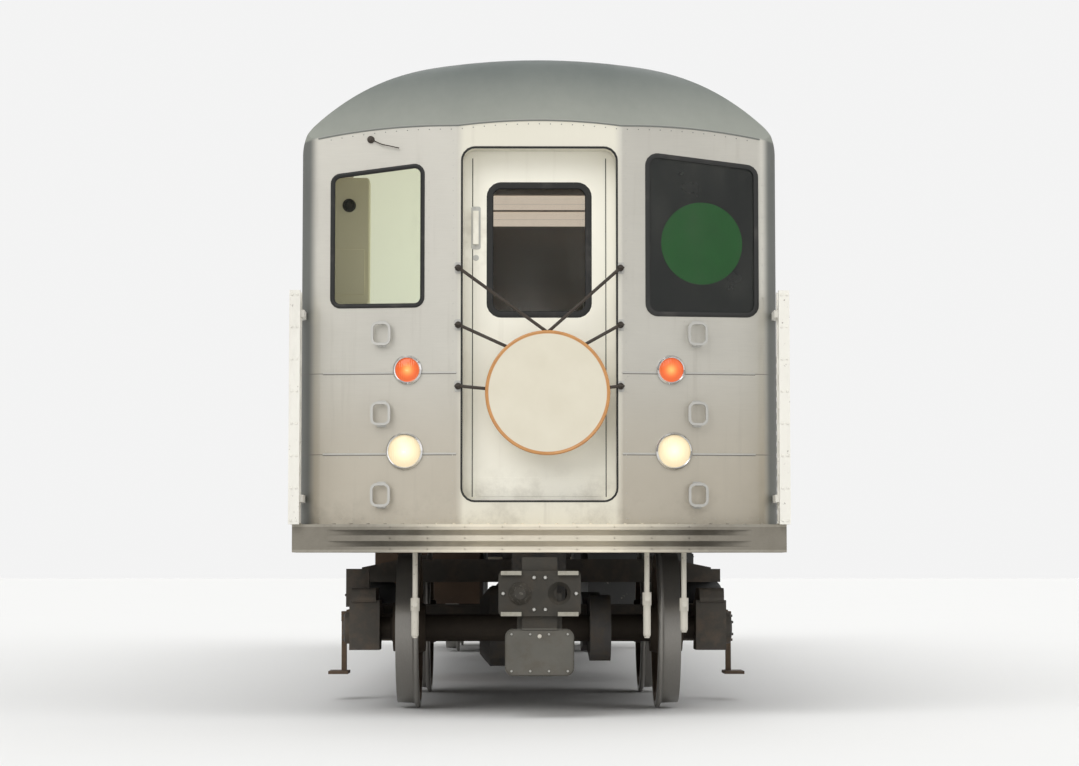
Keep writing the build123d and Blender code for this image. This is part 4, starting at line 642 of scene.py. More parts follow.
# One piece of the scene: skins gathered in a mesh that rides on a body, repeated at each of its spots
class Piece:
    def __init__(self, name, finish, slot, body="car_body", spots=bothEnds):
        self.name, self.finish, self.slot, self.body, self.spots = name, finish, slot, body, spots
        self.points, self.faces = [], []

    def skin(self, place, rings, closed=False):
        base, count = len(self.points), len(rings[0])
        self.points += [place @ Vector(point) for ring in rings for point in ring]
        for low in range(len(rings) if closed else len(rings) - 1):
            high = (low + 1) % len(rings)
            for i in range(count):
                j = (i + 1) % count
                corners = (low * count + i, low * count + j, high * count + j, high * count + i)
                self.faces.append(tuple(base + corner for corner in corners))
        if not closed:
            self.faces.append(tuple(base + i for i in range(count)))
            self.faces.append(tuple(base + (len(rings) - 1) * count + i for i in range(count)))

    # A bead along an outline; its section is a loop of (outward, proud)
    def bead(self, place, outline, section):
        rings = [[(point.x, point.y, proud) for point in grown(outline, out)] for out, proud in section]
        self.skin(place, rings, True)

    # A plate with a bevelled front edge
    def slab(self, place, outline, low, high, bevel=0.002):
        levels = [(0, low), (0, high - bevel), (-bevel, high)]
        self.skin(place, [[(p.x, p.y, level) for p in grown(outline, out)] for out, level in levels])

    # A turned form; its profile is a list of (radius, proud)
    def turned(self, place, profile, sides=12, middle=(0, 0)):
        angles = [2 * math.pi * side / sides for side in range(sides)]
        self.skin(place, [[(middle[0] + radius * math.cos(a), middle[1] + radius * math.sin(a), proud)
                           for a in angles] for radius, proud in profile])

    # A small faceted head at every spot
    def bolts(self, place, spots, radius, height, sides=6):
        for spot in spots:
            self.turned(place, [(radius, -0.001), (radius, height * 0.55), (radius * 0.72, height)], sides, spot)

    # A round bar along a path
    def tube(self, path, radius, sides=8, place=Matrix()):
        points = [Vector(point) for point in path]
        rings = []
        side = None
        for spot, point in enumerate(points):
            way = (points[min(spot + 1, len(points) - 1)] - points[max(spot - 1, 0)]).normalized()
            side = way.orthogonal() if side is None else side - way * side.dot(way)
            side.normalize()
            other = way.cross(side)
            angles = [2 * math.pi * turn / sides for turn in range(sides)]
            rings.append([point + (side * math.cos(a) + other * math.sin(a)) * radius for a in angles])
        self.skin(place, rings)

    def build(self):
        points, faces = [], []
        for spot in self.spots:
            shift = len(points)
            points += [spot @ point for point in self.points]
            faces += [tuple(shift + corner for corner in face) for face in self.faces]
        mesh = bpy.data.meshes.new(self.name)
        mesh.from_pydata(points, [], faces)
        work = bmesh.new()
        work.from_mesh(mesh)
        bmesh.ops.recalc_face_normals(work, faces=work.faces)
        work.to_mesh(mesh)
        work.free()
        mesh.shade_smooth()
        mesh.set_sharp_from_angle(angle=math.radians(38))
        mesh.materials.append(finishes[self.finish])
        made = bpy.data.objects.new(self.name, mesh)
        bpy.context.scene.collection.objects.link(made)
        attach(made, self.body)


# The same piece on a front body and, turned round, on its rear twin
def onBothEnds(name, finish, slot, bodies, shape, *more):
    for body, spot in zip(bodies, bothEnds):
        piece = Piece(f"{name}_{body}", finish, slot, body, (spot,))
        shape(piece, *more)
        piece.build()


def buildAll(*pieces):
    for piece in pieces:
        piece.build()


def circleSpots(count, radius, start):
    angles = [2 * math.pi * step / count + start for step in range(count)]
    return [(radius * math.cos(angle), radius * math.sin(angle)) for angle in angles]


def outlineSpots(outline, pitch):
    spots = []
    for start, end in zip(outline, outline[1:] + outline[:1]):
        count = int((end - start).length / pitch)
        spots += [start.lerp(end, (step + 0.5) / count) for step in range(count)]
    return spots


# Where a ray meets one of the model's nodes
def seat(node, origin, direction):
    hit, point, normal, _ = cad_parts[node].ray_cast(Vector(origin), Vector(direction))
    return (point, normal) if hit else None


# Window rubbers of the end face: each opening's inner and outer edge, heights, corner and the rubber's section
faceWindows = {
    "cab": {"inner": -0.635, "outer": -1.130, "bottom": 2.226, "tops": (2.997, 2.941), "corner": 0.045,
            "section": [(-0.012, -0.016), (-0.014, -0.004), (-0.009, 0.005), (0.000, 0.009), (0.007, 0.007),
                        (0.011, 0.002), (0.011, -0.002), (0.0, -0.004)]},
    "sign": {"inner": 0.586, "outer": 1.190, "bottom": 2.178, "tops": (3.058, 2.994), "corner": 0.058,
             "section": [(-0.016, 0.0), (-0.016, 0.003), (-0.006, 0.006), (0.005, 0.005), (0.010, 0.002),
                         (0.010, -0.002), (0.0, -0.003)]},
}


# The place at a window's lower inner corner, and its outline from there
def faceWindow(kind):
    window = faceWindows[kind]
    width = (window["outer"] - window["inner"]) / math.cos(car["faceSweep"])
    inner, outer = (top - window["bottom"] for top in window["tops"])
    outline = rounded([(0, 0), (width, 0), (width, outer), (0, inner)], window["corner"])
    return facePlace(window["inner"], window["bottom"]), outline


for kind in faceWindows:
    rubber = Piece(f"{kind}_window_rubber", "rubber", "spring_rubber")
    rubber.bead(*faceWindow(kind), faceWindows[kind]["section"])
    rubber.build()

# Doorway of the end: a thin lip of rubber round the opening
endDoorway = {"width": 0.84, "low": 1.165, "top": 3.088, "corner": 0.07,
              "section": [(-0.004, -0.012), (-0.004, -0.001), (0.0, 0.003), (0.0049, 0.003), (0.007, 0.0),
                          (0.004, -0.002)]}
doorSeal = Piece("end_doorway_seal", "rubber", "spring_rubber")
doorSeal.bead(facePlace(0, (endDoorway["low"] + endDoorway["top"]) / 2),
              oblong(endDoorway["width"], endDoorway["top"] - endDoorway["low"], endDoorway["corner"]),
              endDoorway["section"])
doorSeal.build()

# Seams of the end sheets: a proud lap with its shadow, and rows of small screws (radius, height)
seams = {"inner": 0.4501, "length": 0.735, "lap": 0.010, "proud": 0.0016, "shadow": 0.004, "foot": 1.07,
         "rows": (-0.018, 0.020), "rowPitch": 0.0625, "uprightPitch": 0.0685, "footPitch": 0.06,
         "rim": 0.034, "rimPitch": 0.085, "screw": (0.0032, 0.002)}
laps = Piece("end_sheet_laps", "faceTrim", "mask_panel")
shadows = Piece("end_sheet_shadows", "seamShade", "mask_panel")
screws = Piece("end_sheet_screws", "faceTrim", "mask_panel")
for side in (-1, 1):
    middle = side * seams["length"] / 2
    for z in car["seams"]:
        place = facePlace(side * seams["inner"], z)
        laps.slab(place, oblong(seams["length"], seams["lap"], 0.002, (middle, 0.003), 2),
                  -0.001, seams["proud"], 0.001)
        shadows.slab(place, oblong(seams["length"], seams["shadow"], 0.001, (middle, -0.0045), 1),
                     -0.001, 0.0006, 0.0002)
        screws.bolts(place, [(side * (0.030 + step * seams["rowPitch"]), row) for step in range(12)
                             for row in seams["rows"]], *seams["screw"])
    upright = [(side * 0.020, step * seams["uprightPitch"]) for step in range(31)]
    foot = [(side * (0.03 + step * seams["footPitch"]), 0) for step in range(13)]
    screws.bolts(facePlace(side * seams["inner"], seams["foot"]), upright + foot, *seams["screw"])
for place, outline in map(faceWindow, faceWindows):
    screws.bolts(place, outlineSpots(grown(outline, seams["rim"]), seams["rimPitch"]), *seams["screw"])
buildAll(laps, shadows, screws)

# Bead and rivets under the bonnet's lip
lip = {"bead": 0.0045, "reach": 1.21, "steps": 30, "rivets": 19, "pitch": 0.06, "drop": 0.020,
       "rivet": (0.0032, 0.002)}


def lipPoint(x):
    radius = car["lipRadius"] + sweptBack(x) * car["lipRise"]
    return Vector((x, car["faceY"] + sweptBack(x) - 0.001, car["lipAxis"] + math.sqrt(radius * radius - x * x)))


lipBead = Piece("bonnet_bead", "bonnetTrim", "roof_paint")
lipBead.tube([lipPoint(lip["reach"] * (step / lip["steps"] - 1)) for step in range(2 * lip["steps"] + 1)],
             lip["bead"])
for step in range(-lip["rivets"], lip["rivets"] + 1):
    x = step * lip["pitch"]
    lipBead.bolts(facePlace(x, lipPoint(x).z - lip["drop"]), [(0, 0)], *lip["rivet"])
lipBead.build()

# Lamps: a flange round each bezel and four screws on it; rows: place, height, bezel radius
lamps = {"rows": [(0.730, 1.435, 0.090), (0.715, 1.876, 0.068)], "inset": 0.006, "screw": (0.0045, 0.007, 8),
         "section": [(-0.014, -0.001), (-0.014, 0.004), (-0.003, 0.0035), (0.0, -0.001)]}
flanges = Piece("lamp_flanges", "chrome", "chrome_trim")
lampScrews = Piece("lamp_screws", "stepSteel", "chrome_trim")
for side in (-1, 1):
    for x, z, radius in lamps["rows"]:
        place = facePlace(side * x, z)
        flanges.bead(place, oblong(2 * radius + 0.024, 2 * radius + 0.024, radius + 0.0119, (0, 0), 10),
                     lamps["section"])
        lampScrews.bolts(place, circleSpots(4, radius + lamps["inset"], math.pi / 4), *lamps["screw"])
buildAll(flanges, lampScrews)

# Foot plates of the step loops, and eye plates of the chains' hooks; each at one place and three heights
steps = {"x": 0.855, "heights": (1.198, 1.638, 2.073), "foot": (0.050, 0.022, 0.007), "up": 0.062, "out": 0.018}
hooks = {"x": 0.443, "heights": (1.785, 2.118, 2.428), "plate": (0.034, 0.062, 0.008), "up": 0.023}
feet = Piece("step_feet", "stepSteel", "step_steel")
for side in (-1, 1):
    for z in steps["heights"]:
        place = facePlace(side * steps["x"], z)
        for level in (-steps["up"], steps["up"]):
            feet.slab(place, oblong(*steps["foot"], (0, level), 3), -0.001, 0.0035, 0.001)
            feet.bolts(place, [(-steps["out"], level), (steps["out"], level)], 0.004, 0.007)
    for z in hooks["heights"]:
        place = facePlace(side * hooks["x"], z)
        feet.slab(place, oblong(*hooks["plate"], (0, 0), 3), -0.003, 0.003, 0.001)
        feet.bolts(place, [(0, -hooks["up"]), (0, hooks["up"])], 0.004, 0.0065)
feet.build()

# Wiper's spindle above the cab window
wiper = {"x": -0.92, "z": 3.140, "cap": 0.020, "height": 0.026, "arm": 0.16}
spindle = Piece("wiper_spindle", "strap", "strap_rubber")
place = facePlace(wiper["x"], wiper["z"])
spindle.turned(place, [(wiper["cap"], -0.001), (wiper["cap"], 0.008), (0.014, 0.014),
                       (0.008, wiper["height"]), (0.003, wiper["height"] + 0.001)], 16)
spindle.tube([(0, 0, 0.018), (wiper["arm"] * 0.4, -0.030, 0.022), (wiper["arm"], -0.052, 0.020)],
             0.0032, 6, place)
spindle.build()

# Nose bar: bolts along its top, which falls back from flat on, and countersunk screws along its ribs
nose = {"pitch": 0.092, "count": 14, "bolt": 0.009, "flat": 0.90, "slope": 0.186, "inset": 0.045,
        "ribs": (0.903, 0.963, 1.023), "screw": 0.006, "screwPitch": 0.2}
noseBolts = Piece("nose_bolts", "noseMetal", "nose_metal")
for step in range(-nose["count"], nose["count"] + 1):
    x = step * nose["pitch"]
    back = max(0, abs(x) - nose["flat"]) * nose["slope"]
    top = placeOf((x, car["noseY"] + nose["inset"] + back, car["deck"]), (1, 0, 0), (0, 0, 1))
    noseBolts.bolts(top, [(0, 0)], nose["bolt"], 0.006)
for z in nose["ribs"]:
    for step in range(-4, 5):
        noseBolts.turned(frontPlace(step * nose["screwPitch"], car["noseY"], z),
                         [(nose["screw"], -0.001), (nose["screw"], 0.0008), (0.004, 0.0012), (0.003, 0.0)], 10)
noseBolts.build()

# Gates: rivets down the front post of each, in line with the lattice
gate = {"x": 1.318, "front": -7.755, "low": 1.058, "pitch": 0.1737, "rivet": 0.0065}
gateRivets = Piece("gate_rivets", "gate", "gate_paint")
for side in (-1, 1):
    place = frontPlace(side * gate["x"], gate["front"], gate["low"])
    gateRivets.bolts(place, [(row, step * gate["pitch"]) for step in range(8) for row in (-0.014, 0.014)],
                     gate["rivet"], 0.005, 8)
gateRivets.build()


# End door: window rubber, rubber edge of the leaf, latch plate and lock, a painted kick strip with screws
endDoor = {"y": -7.515, "glassZ": 2.5445, "glass": (0.528, 0.699, 0.056), "edge": (0.365, 2.12),
           "latch": (-0.347, 2.665), "kickZ": 1.245, "kick": (0.69, 0.105, 0.010), "kickPitch": 0.082,
           "section": [(-0.012, -0.018), (-0.013, -0.006), (-0.008, 0.001), (0.004, 0.0028), (0.020, 0.0024),
                       (0.026, -0.001), (0.0, -0.004)]}


def doorRubber(piece):
    piece.bead(frontPlace(0, endDoor["y"], endDoor["glassZ"]), oblong(*endDoor["glass"]), endDoor["section"])
    for side in (-1, 1):
        place = frontPlace(side * endDoor["edge"][0], endDoor["y"], endDoor["edge"][1])
        piece.slab(place, oblong(0.005, 1.86, 0.002, (0, 0), 1), -0.001, 0.0012, 0.0005)


def doorMetal(piece):
    x, z = endDoor["latch"]
    place = frontPlace(x, endDoor["y"], z)
    piece.slab(place, oblong(0.052, 0.236, 0.012), -0.001, 0.0020, 0.0008)
    piece.turned(place, [(0.017, -0.001), (0.016, 0.002), (0.007, 0.0028), (0.006, 0.0012)], 20, (0, -0.165))
    piece.bolts(place, [(0, -0.108), (0, 0.108)], 0.0045, 0.0029, 8)


def doorKick(piece):
    place = frontPlace(0, endDoor["y"], endDoor["kickZ"])
    piece.slab(place, oblong(*endDoor["kick"]), -0.001, 0.0016, 0.0008)
    piece.bolts(place, [(step * endDoor["kickPitch"], level) for step in range(-4, 5)
                        for level in (-0.040, 0.040)], 0.0035, 0.0026)


endDoors = ("end_door_front", "end_door_rear")
onBothEnds("window_rubber", "rubber", "spring_rubber", endDoors, doorRubber)
onBothEnds("latch_plate", "faceTrim", "chrome_trim", endDoors, doorMetal)
onBothEnds("kick_strip", "door", "end_door_paint", endDoors, doorKick)
print("end face done")

# Side walls; columns: window's middle along the right wall, width
windowRows = [(-6.8625, 0.60), (-1.775, 0.86), (-2.985, 1.40), (2.045, 1.40), (3.255, 0.86), (6.8625, 0.90)]
sideWindow = {"z": 2.488, "height": 0.80, "corner": 0.09, "bar": 0.17, "screwPitch": 0.11,
              "rubber": [(-0.009, -0.0145), (-0.010, -0.006), (-0.005, 0.0005), (0.001, 0.002),
                         (0.004, -0.001), (0.0, -0.004)],
              "frame": [(0.003, -0.001), (0.004, 0.0026), (0.024, 0.0022), (0.026, -0.001)]}
sideRubber = Piece("side_window_rubbers", "rubber", "spring_rubber")
sideFrames = Piece("side_window_frames", "sideTrim", "stainless")
for y, width in windowRows:
    place = sidePlace(-1, y, sideWindow["z"])
    shape = oblong(width, sideWindow["height"], sideWindow["corner"])
    sideRubber.bead(place, shape, sideWindow["rubber"])
    sideFrames.bead(place, shape, sideWindow["frame"])
    sideFrames.bolts(place, outlineSpots(grown(shape, 0.014), sideWindow["screwPitch"]), 0.0034, 0.0042)
    if width > 0.62:
        bar = oblong(width - 0.018, 0.026, 0.004, (0, sideWindow["bar"]), 2)
        sideFrames.slab(place, bar, -0.0145, -0.004, 0.002)
        for way in (-1, 1):
            catch = oblong(0.06, 0.010, 0.003, (way * width * 0.2, sideWindow["bar"] + 0.018), 2)
            sideFrames.slab(place, catch, -0.012, -0.002, 0.001)
buildAll(sideRubber, sideFrames)

# Doorways: frame strips, ribbed sills, a strip over the top and two small amber lamps beside each
doorFrame = {"width": 1.27, "low": 1.165, "top": 2.998, "strip": 0.024, "proud": 0.0095, "sill": 0.028,
             "boltPitch": 0.117, "lampY": -0.78, "lampZ": 2.93, "lampPitch": 0.07,
             "lamp": [(0.021, -0.001), (0.021, 0.006), (0.015, 0.012), (0.006, 0.0145)]}
doorStrips = Piece("doorway_frames", "sideTrim", "stainless")
sills = Piece("doorway_sills", "sideTrim", "nose_metal")
lampAmber = Piece("doorway_lamps", "amber", "tail_lens")
width, low, top, strip = (doorFrame[key] for key in ("width", "low", "top", "strip"))
proud, sill = doorFrame["proud"], doorFrame["sill"]
for y in car["doorways"]:
    place = sidePlace(-1, y, 0)
    for way in (-1, 1):
        x = way * (width + strip) / 2
        doorStrips.slab(place, oblong(strip, top - low + 0.03, 0.004, (x, (low + top) / 2), 2), -0.001, proud)
        doorStrips.bolts(place, [(x, 1.20 + step * doorFrame["boltPitch"]) for step in range(16)],
                         0.0035, proud + 0.002)
    doorStrips.slab(place, oblong(width + 2 * strip, strip, 0.004, (0, top + strip / 2 + 0.001), 2),
                    -0.001, proud)
    sills.slab(place, oblong(width + 0.05, 0.042, 0.006, (0, low - 0.024), 2), -0.001, sill)
    for row in range(4):
        sills.slab(place, oblong(width + 0.02, 0.004, 0.001, (0, low - 0.039 + row * 0.010), 1),
                   sill - 0.001, sill + 0.002, 0.0006)
    for row in (0, 1):
        lampAmber.turned(place, doorFrame["lamp"], 20,
                         (doorFrame["lampY"], doorFrame["lampZ"] - row * doorFrame["lampPitch"]))
buildAll(doorStrips, sills, lampAmber)

# Rivet rows, lap strips between the sheets and two blank plates on the side walls
sheets = {"rows": (2.018, 3.036), "pitch": 0.105, "laps": (-6.335, -3.735, -2.245, 1.305, 2.785, 6.335),
          "lapWidth": 0.034, "lapRivets": 0.102, "clear": 0.68}
rivets = Piece("side_rivets", "sideTrim", "stainless")
for z in sheets["rows"]:
    for step in range(-69, 70):
        y = step * sheets["pitch"]
        if z > 3 or min(abs(y - doorway) for doorway in car["doorways"]) > sheets["clear"]:
            rivets.bolts(sidePlace(-1, y, z), [(0, 0)], 0.0042, 0.0022)
for y in sheets["laps"]:
    place = sidePlace(-1, y, 0)
    rivets.slab(place, oblong(sheets["lapWidth"], 1.00, 0.003, (0, 2.527), 2), -0.001, 0.0016, 0.0008)
    rivets.bolts(place, [(x, 2.07 + step * sheets["lapRivets"]) for step in range(10)
                         for x in (-0.010, 0.010)], 0.0034, 0.0032)
rivets.build()
plate = {"places": (-4.06, 4.06), "z": 2.20, "size": (0.34, 0.085, 0.008), "screw": 0.158}
plates = Piece("blank_plates", "blankPlate", "sign_black")
for y in plate["places"]:
    place = sidePlace(-1, y, plate["z"])
    plates.slab(place, oblong(*plate["size"]), -0.001, 0.003, 0.001)
    plates.bolts(place, [(-plate["screw"], 0), (plate["screw"], 0)], 0.003, 0.0045)
plates.build()

# Door leaves: window rubbers, rubber noses, and a strip across the foot; the leaves pass inside the walls
leafPart = {"x": 1.286, "offset": 0.3175, "z": 2.463, "window": (0.40, 0.85, 0.06), "noseZ": 2.08,
            "nose": (0.022, 1.80, 0.004), "footZ": 1.255, "foot": (0.52, 0.13, 0.006), "pitch": 0.080,
            "section": [(-0.009, -0.0085), (-0.009, -0.002), (-0.003, 0.0015), (0.006, 0.0028), (0.015, 0.002),
                        (0.018, -0.001), (0.0, -0.003)]}


def leafRubber(piece, way):
    for y in car["doorways"]:
        place = sidePlace(-1, y + way * leafPart["offset"], leafPart["z"], leafPart["x"])
        piece.bead(place, oblong(*leafPart["window"]), leafPart["section"])
        place = sidePlace(-1, y + way * 0.014, leafPart["noseZ"], leafPart["x"])
        piece.slab(place, oblong(*leafPart["nose"], (0, 0), 2), -0.001, 0.0026, 0.001)


def leafMetal(piece, way):
    for y in car["doorways"]:
        place = sidePlace(-1, y + way * leafPart["offset"], leafPart["footZ"], leafPart["x"])
        piece.slab(place, oblong(*leafPart["foot"]), -0.001, 0.0018, 0.0008)
        piece.bolts(place, [(step * leafPart["pitch"], level) for step in range(-3, 4)
                            for level in (-0.052, 0.052)], 0.0032, 0.0028)


for way, bodies in ((-1, ("doors_right_forward", "doors_left_back")),
                    (1, ("doors_right_back", "doors_left_forward"))):
    onBothEnds("leaf_rubber", "rubber", "spring_rubber", bodies, leafRubber, way)
    onBothEnds("leaf_strip", "sideTrim", "stainless", bodies, leafMetal, way)
print("side walls done")

# Roof: welded battens over the sheet joints, broken at the ribs, laid on the roof by rays
batten = {"places": (-5.7, -3.8, -1.9, 0.0, 1.9, 3.8, 5.7), "step": 0.025,
          "section": [(-0.017, -0.001), (-0.017, 0.0012), (-0.01428, 0.002), (0.01428, 0.002), (0.017, 0.0012),
                      (0.017, -0.001)],
          "spans": [(-1.262, -1.060), (-1.020, -0.880), (-0.840, -0.670), (-0.630, -0.450), (-0.410, -0.230),
                    (-0.190, 0.190), (0.230, 0.410), (0.450, 0.630), (0.670, 0.840), (0.880, 1.020),
                    (1.060, 1.262)]}
battens = Piece("roof_battens", "roofTrim", "roof_paint", spots=once)
for y in batten["places"]:
    for start, end in batten["spans"]:
        count = max(3, int((end - start) / batten["step"]))
        rings = []
        for step in range(count + 1):
            # a hair off the sheets' edges, which a ray could miss
            found = seat("roof", (start + (end - start) * step / count, y + 0.0007, 4.0), (0, 0, -1))
            if found:
                point, normal = found
                rings.append([point + Vector((0, across, 0)) + normal * high
                              for across, high in batten["section"]])
        if len(rings) > 1:
            battens.skin(Matrix(), rings)
battens.build()

# Inside: bands across the front part of the ceiling that glow as painted light, though they are no lamps; a
# cabinet with a fan in the cab, which glows faintly as painted light; long rails
inside = {"bands": [(-4.32, -3.70), (-3.50, -2.81)], "half": 0.56, "z": 3.286, "railX": 0.50, "railZ": 2.98,
          "railStart": -4.2, "railStep": 0.7}
bands = Piece("ceiling_bands", "bandGlow", "diffuser", spots=once)
for low, high in inside["bands"]:
    place = placeOf((0, (low + high) / 2, inside["z"]), (0, 1, 0), (0, 0, -1))
    bands.slab(place, oblong(high - low, 2 * inside["half"], 0.03), -0.003, 0.010, 0.004)
bands.build()
rails = Piece("ceiling_rails", "poleSteel", "pole_steel")
stations = [inside["railStart"] + step * inside["railStep"] for step in range(13)]
rails.tube([(inside["railX"], y, inside["railZ"]) for y in stations], 0.014, 10)
for y in stations[::2]:
    rails.tube([(inside["railX"], y, inside["railZ"]), (inside["railX"], y, 3.287)], 0.010, 8)
rails.build()
cabinet = {"place": (-1.085, -6.98, 2.66), "size": (0.25, 0.72, 0.02), "lid": (0.20, 0.26, 0.01, (0, -0.18)),
           "fanSpot": (0.01, 0.20), "fan": [(0.038, -0.001), (0.038, 0.016), (0.032, 0.020), (0.026, 0.006),
                                            (0.018, 0.008), (0.014, 0.018), (0.004, 0.020)]}
# the cabinet's faint glow is painted light
cabinetBox = Piece("cab_cabinet", "cabinet", "console_paint")
place = frontPlace(*cabinet["place"])
cabinetBox.slab(place, oblong(*cabinet["size"]), -0.12, 0.0, 0.006)
cabinetBox.slab(place, oblong(*cabinet["lid"]), -0.001, 0.008, 0.002)
fan = Piece("cab_fan", "strap", "console_paint")
fan.turned(place, cabinet["fan"], 28, cabinet["fanSpot"])
buildAll(cabinetBox, fan)
print("roof and inside done")

# Underfloor: latches, vents and blank plates on the case doors; columns: front, back, side, low, doors
caseRows = [(-1.150, 0.350, -1, 0.560, 2), (0.650, 2.450, -1, 0.520, 3),
            (-3.250, -1.200, 1, 0.500, 3), (1.150, 2.400, 1, 0.600, 2)]
case = {"x": 1.124, "top": 0.910, "margin": 0.046, "sill": 0.086, "slats": 7, "slatPitch": 0.022,
        "latch": 0.34, "inset": 0.022}
latches = Piece("case_latches", "sideTrim", "chrome_trim", spots=once)
vents = Piece("case_vents", "cases", "case_paint", spots=once)
for front, back, side, low, doors in caseRows:
    width = (back - front - (doors + 1) * case["margin"]) / doors
    bottom = low + case["sill"]
    centre, half = (case["top"] + bottom) / 2, (case["top"] - bottom) / 2
    for door in range(doors):
        middle = front + case["margin"] + width / 2 + door * (width + case["margin"])
        place = sidePlace(side, middle, 0, case["x"])
        for x in (-width * case["latch"], width * case["latch"]):
            latches.slab(place, oblong(0.030, 0.055, 0.006, (x, bottom + 0.030), 2), -0.001, 0.009)
            latches.slab(place, oblong(0.012, 0.075, 0.004, (x, bottom + 0.040), 2), 0.008, 0.018)
        latches.bolts(place, [(way * (width / 2 - case["inset"]), centre + level * (half - case["inset"]))
                              for level in (-1, 1) for way in (-1, 1)], 0.006, 0.005)
        if door % 2 == 0:
            for slat in range(case["slats"]):
                z = bottom + 0.105 + slat * case["slatPitch"]
                if z < case["top"] - 0.03:
                    vents.slab(place, oblong(width * 0.55, 0.013, 0.003, (0, z), 2), -0.001, 0.008, 0.005)
        else:
            vents.slab(place, oblong(0.15, 0.06, 0.006, (0, centre)), -0.001, 0.003, 0.001)
buildAll(latches, vents)

# Conduits and an air pipe along the sills, with clips; columns: side, out from the middle, height, radius, ends
pipeRows = [(-1, 1.160, 0.962, 0.012, -4.15, 3.6), (-1, 1.190, 0.962, 0.009, -4.15, 3.6),
            (1, 1.160, 0.962, 0.012, -4.15, 3.6), (1, 1.192, 0.960, 0.014, -4.15, 3.6)]
clip = {"x": 1.175, "z": 0.980, "start": -4.05, "pitch": 0.75}
conduits = Piece("sill_conduits", "frame", "frame_steel", spots=once)
for side, x, z, radius, start, end in pipeRows:
    conduits.tube([(side * x, start + (end - start) * step / 20, z) for step in range(21)], radius, 8)
for side in (-1, 1):
    for step in range(11):
        place = placeOf((side * clip["x"], clip["start"] + step * clip["pitch"], clip["z"]),
                        (0, side, 0), (0, 0, -1))
        conduits.slab(place, oblong(0.030, 0.085, 0.004, (0, 0), 2), -0.003, 0.036, 0.004)
conduits.build()


# Bogies: covers with bolts on the axle boxes and bolts along the side frames, seated by rays
bogie = {"cover": [(0.088, -0.002), (0.088, 0.006), (0.080, 0.011), (0.034, 0.012), (0.030, 0.017),
                   (0.010, 0.018)], "ring": 0.069, "middle": -5.4865, "pitch": 0.105, "z": 0.60, "row": 0.045}


def bogieCovers(piece):
    for side in (-1, 1):
        for y in car["axles"][:2]:
            found = seat("bogie_frame_front", (side * 2, y, car["axleZ"]), (-side, 0, 0))
            place = sidePlace(side, y, car["axleZ"], abs(found[0].x))
            piece.turned(place, bogie["cover"], 28)
            piece.bolts(place, circleSpots(6, bogie["ring"], math.pi * 0.17), 0.010, 0.021)


def bogieBolts(piece):
    for side in (-1, 1):
        for step in range(-8, 9):
            y = bogie["middle"] + step * bogie["pitch"]
            for z in (bogie["z"] + bogie["row"], bogie["z"] - bogie["row"]):
                found = seat("bogie_frame_front", (side * 2, y, z), (-side, 0, 0))
                # only on the frame's upright outer face
                if found and abs(found[1].x) > 0.98 and abs(found[0].x) > 0.95:
                    piece.bolts(sidePlace(side, y, z, abs(found[0].x)), [(0, 0)], 0.008, 0.007)


bogies = ("bogie_front", "bogie_rear")
onBothEnds("axle_covers", "frame", "bogie_steel", bogies, bogieCovers)
onBothEnds("frame_bolts", "frame", "bogie_steel", bogies, bogieBolts)


# Couplers: bolts round the head and the plug box's lid, and one pale button
coupler = {"head": [(-0.195, 0.0), (0.195, 0.0), (-0.03, 0.085), (0.03, 0.085), (-0.03, -0.085), (0.03, -0.085)],
           "lidY": -7.763, "lidZ": 0.353, "lid": [(x, z) for x in (-0.150, -0.05, 0.05, 0.150)
                                                  for z in (-0.098, 0.098)],
           "button": [(0.011, -0.001), (0.011, 0.004), (0.007, 0.008), (0.002, 0.009)], "buttonUp": 0.087}


def couplerBolts(piece):
    piece.bolts(frontPlace(0, -car["couplerY"], car["couplerZ"]), coupler["head"], 0.011, 0.009)
    piece.bolts(frontPlace(0, coupler["lidY"], coupler["lidZ"]), coupler["lid"], 0.007, 0.006)


def couplerButton(piece):
    place = frontPlace(0, coupler["lidY"], coupler["lidZ"])
    piece.turned(place, coupler["button"], 16, (0, coupler["buttonUp"]))


couplers = ("coupler_front", "coupler_rear")
onBothEnds("coupler_bolts", "stepSteel", "coupler_iron", couplers, couplerBolts)
onBothEnds("coupler_button", "pipe", "pipe_paint", couplers, couplerButton)
print("underside done")

# Camera: at the photograph's own station in front of the car, with a longer lens
camera = {"place": (-0.13, -22.22, 0.79), "aim": (0.0, -7.7, 1.80), "lens": 90.0}
eye = bpy.data.objects.new("camera", bpy.data.cameras.new("camera"))
bpy.context.scene.collection.objects.link(eye)
eye.location = camera["place"]
eye.rotation_mode = "QUATERNION"
eye.rotation_quaternion = (Vector(camera["aim"]) - Vector(camera["place"])).to_track_quat("-Z", "Y")
eye.data.lens = camera["lens"]
eye.data.clip_end = 500
bpy.context.scene.camera = eye

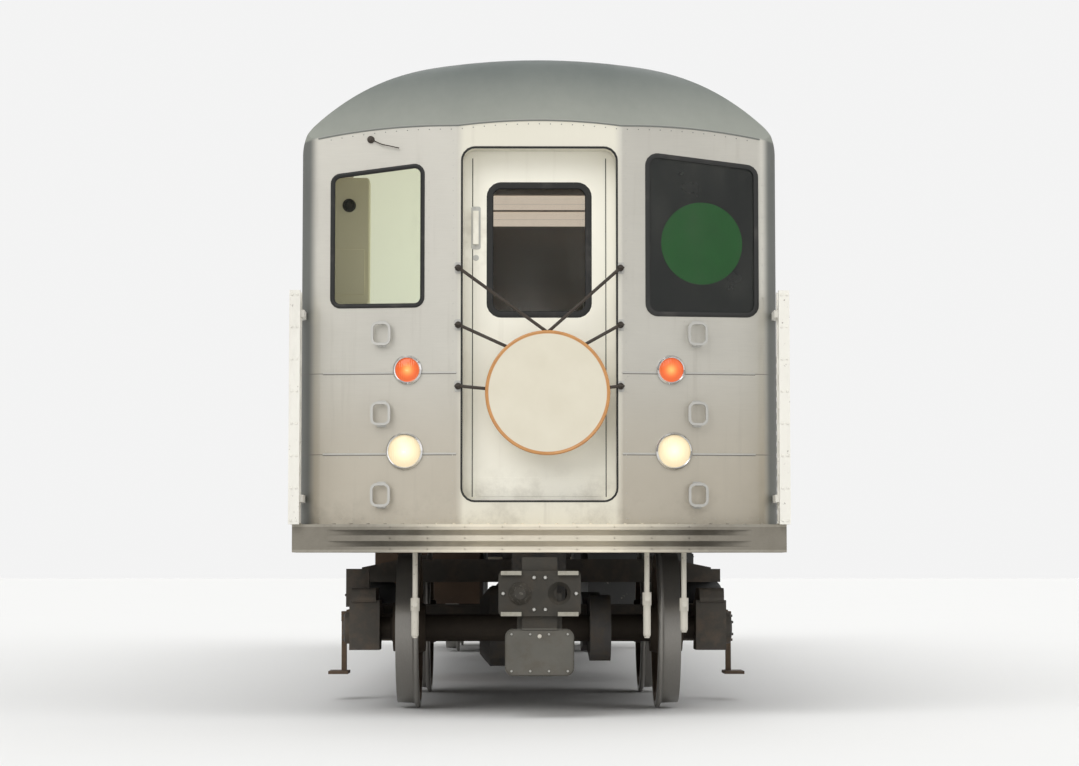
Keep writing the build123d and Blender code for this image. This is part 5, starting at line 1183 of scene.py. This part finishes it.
# Studio: pale floor, pale surround and broad soft lamps that reach the whole length alike
studio = {"floorTone": (0.80, 0.80, 0.79), "floorReach": 260, "backTone": 0.90, "ambient": 0.42,
          "card": (0, -0.995, 0.10),
          "lamps": [("key", (-0.55, -1.0, 0.95), 1.55, 50), ("fill", (0.9, -0.55, 0.6), 0.75, 60),
                    ("back", (0.25, 1.0, 0.9), 0.95, 60)]}
floorMesh = bpy.data.meshes.new("studio_floor")
floorMesh.from_pydata([(x * studio["floorReach"], y * studio["floorReach"], 0)
                       for x, y in ((-1, -1), (1, -1), (1, 1), (-1, 1))], [], [(0, 1, 2, 3)])
studioFloor = bpy.data.objects.new("studio_floor", floorMesh)
bpy.context.scene.collection.objects.link(studioFloor)
paper = Finish("studio_paper", Roughness=0.9, Specular_IOR_Level=0.1)
mottle = paper.tint(paper.noise(0.4, 3), studio["floorTone"], shade(studio["floorTone"], 0.985))
paper.feed("Base Color", mottle)
studioFloor.data.materials.append(paper.material)

for name, direction, strength, spread in studio["lamps"]:
    lamp = bpy.data.objects.new(name, bpy.data.lights.new(name, "SUN"))
    lamp.data.energy = strength
    lamp.data.angle = math.radians(spread)
    lamp.rotation_mode = "QUATERNION"
    lamp.rotation_quaternion = Vector(direction).to_track_quat("Z", "Y")
    bpy.context.scene.collection.objects.link(lamp)

# World: softer above, darker low down, a bright card ahead of the car; camera rays see a plain pale ground
world = bpy.data.worlds.new("studio")
world.use_nodes = True
world.node_tree.nodes.clear()
bpy.context.scene.world = world
sky = Nodes(world.node_tree)
way = sky.node("ShaderNodeTexCoord", {}, {}, "Generated")
up = sky.node("ShaderNodeSeparateXYZ", {}, {0: way}, "Z")
ahead = sky.node("ShaderNodeVectorMath", {"operation": "DOT_PRODUCT"}, {0: way, 1: studio["card"]}, "Value")
level = sky.step(up, -0.25, 0.85, 0.55, 1.45) + sky.step(ahead, 0.955, 0.995, 0.0, 1.6)
lit = sky.node("ShaderNodeBackground", {}, {0: (1, 1, 1, 1), 1: level * studio["ambient"]})
seen = sky.node("ShaderNodeBackground", {}, {0: (1, 1, 1, 1), 1: studio["backTone"]})
isCamera = sky.node("ShaderNodeLightPath", {}, {}, "Is Camera Ray")
mixed = sky.node("ShaderNodeMixShader", {}, {0: isCamera, 1: lit, 2: seen})
sky.node("ShaderNodeOutputWorld", {}, {0: mixed})
bpy.context.scene.view_settings.view_transform = "Standard"
print("studio set")
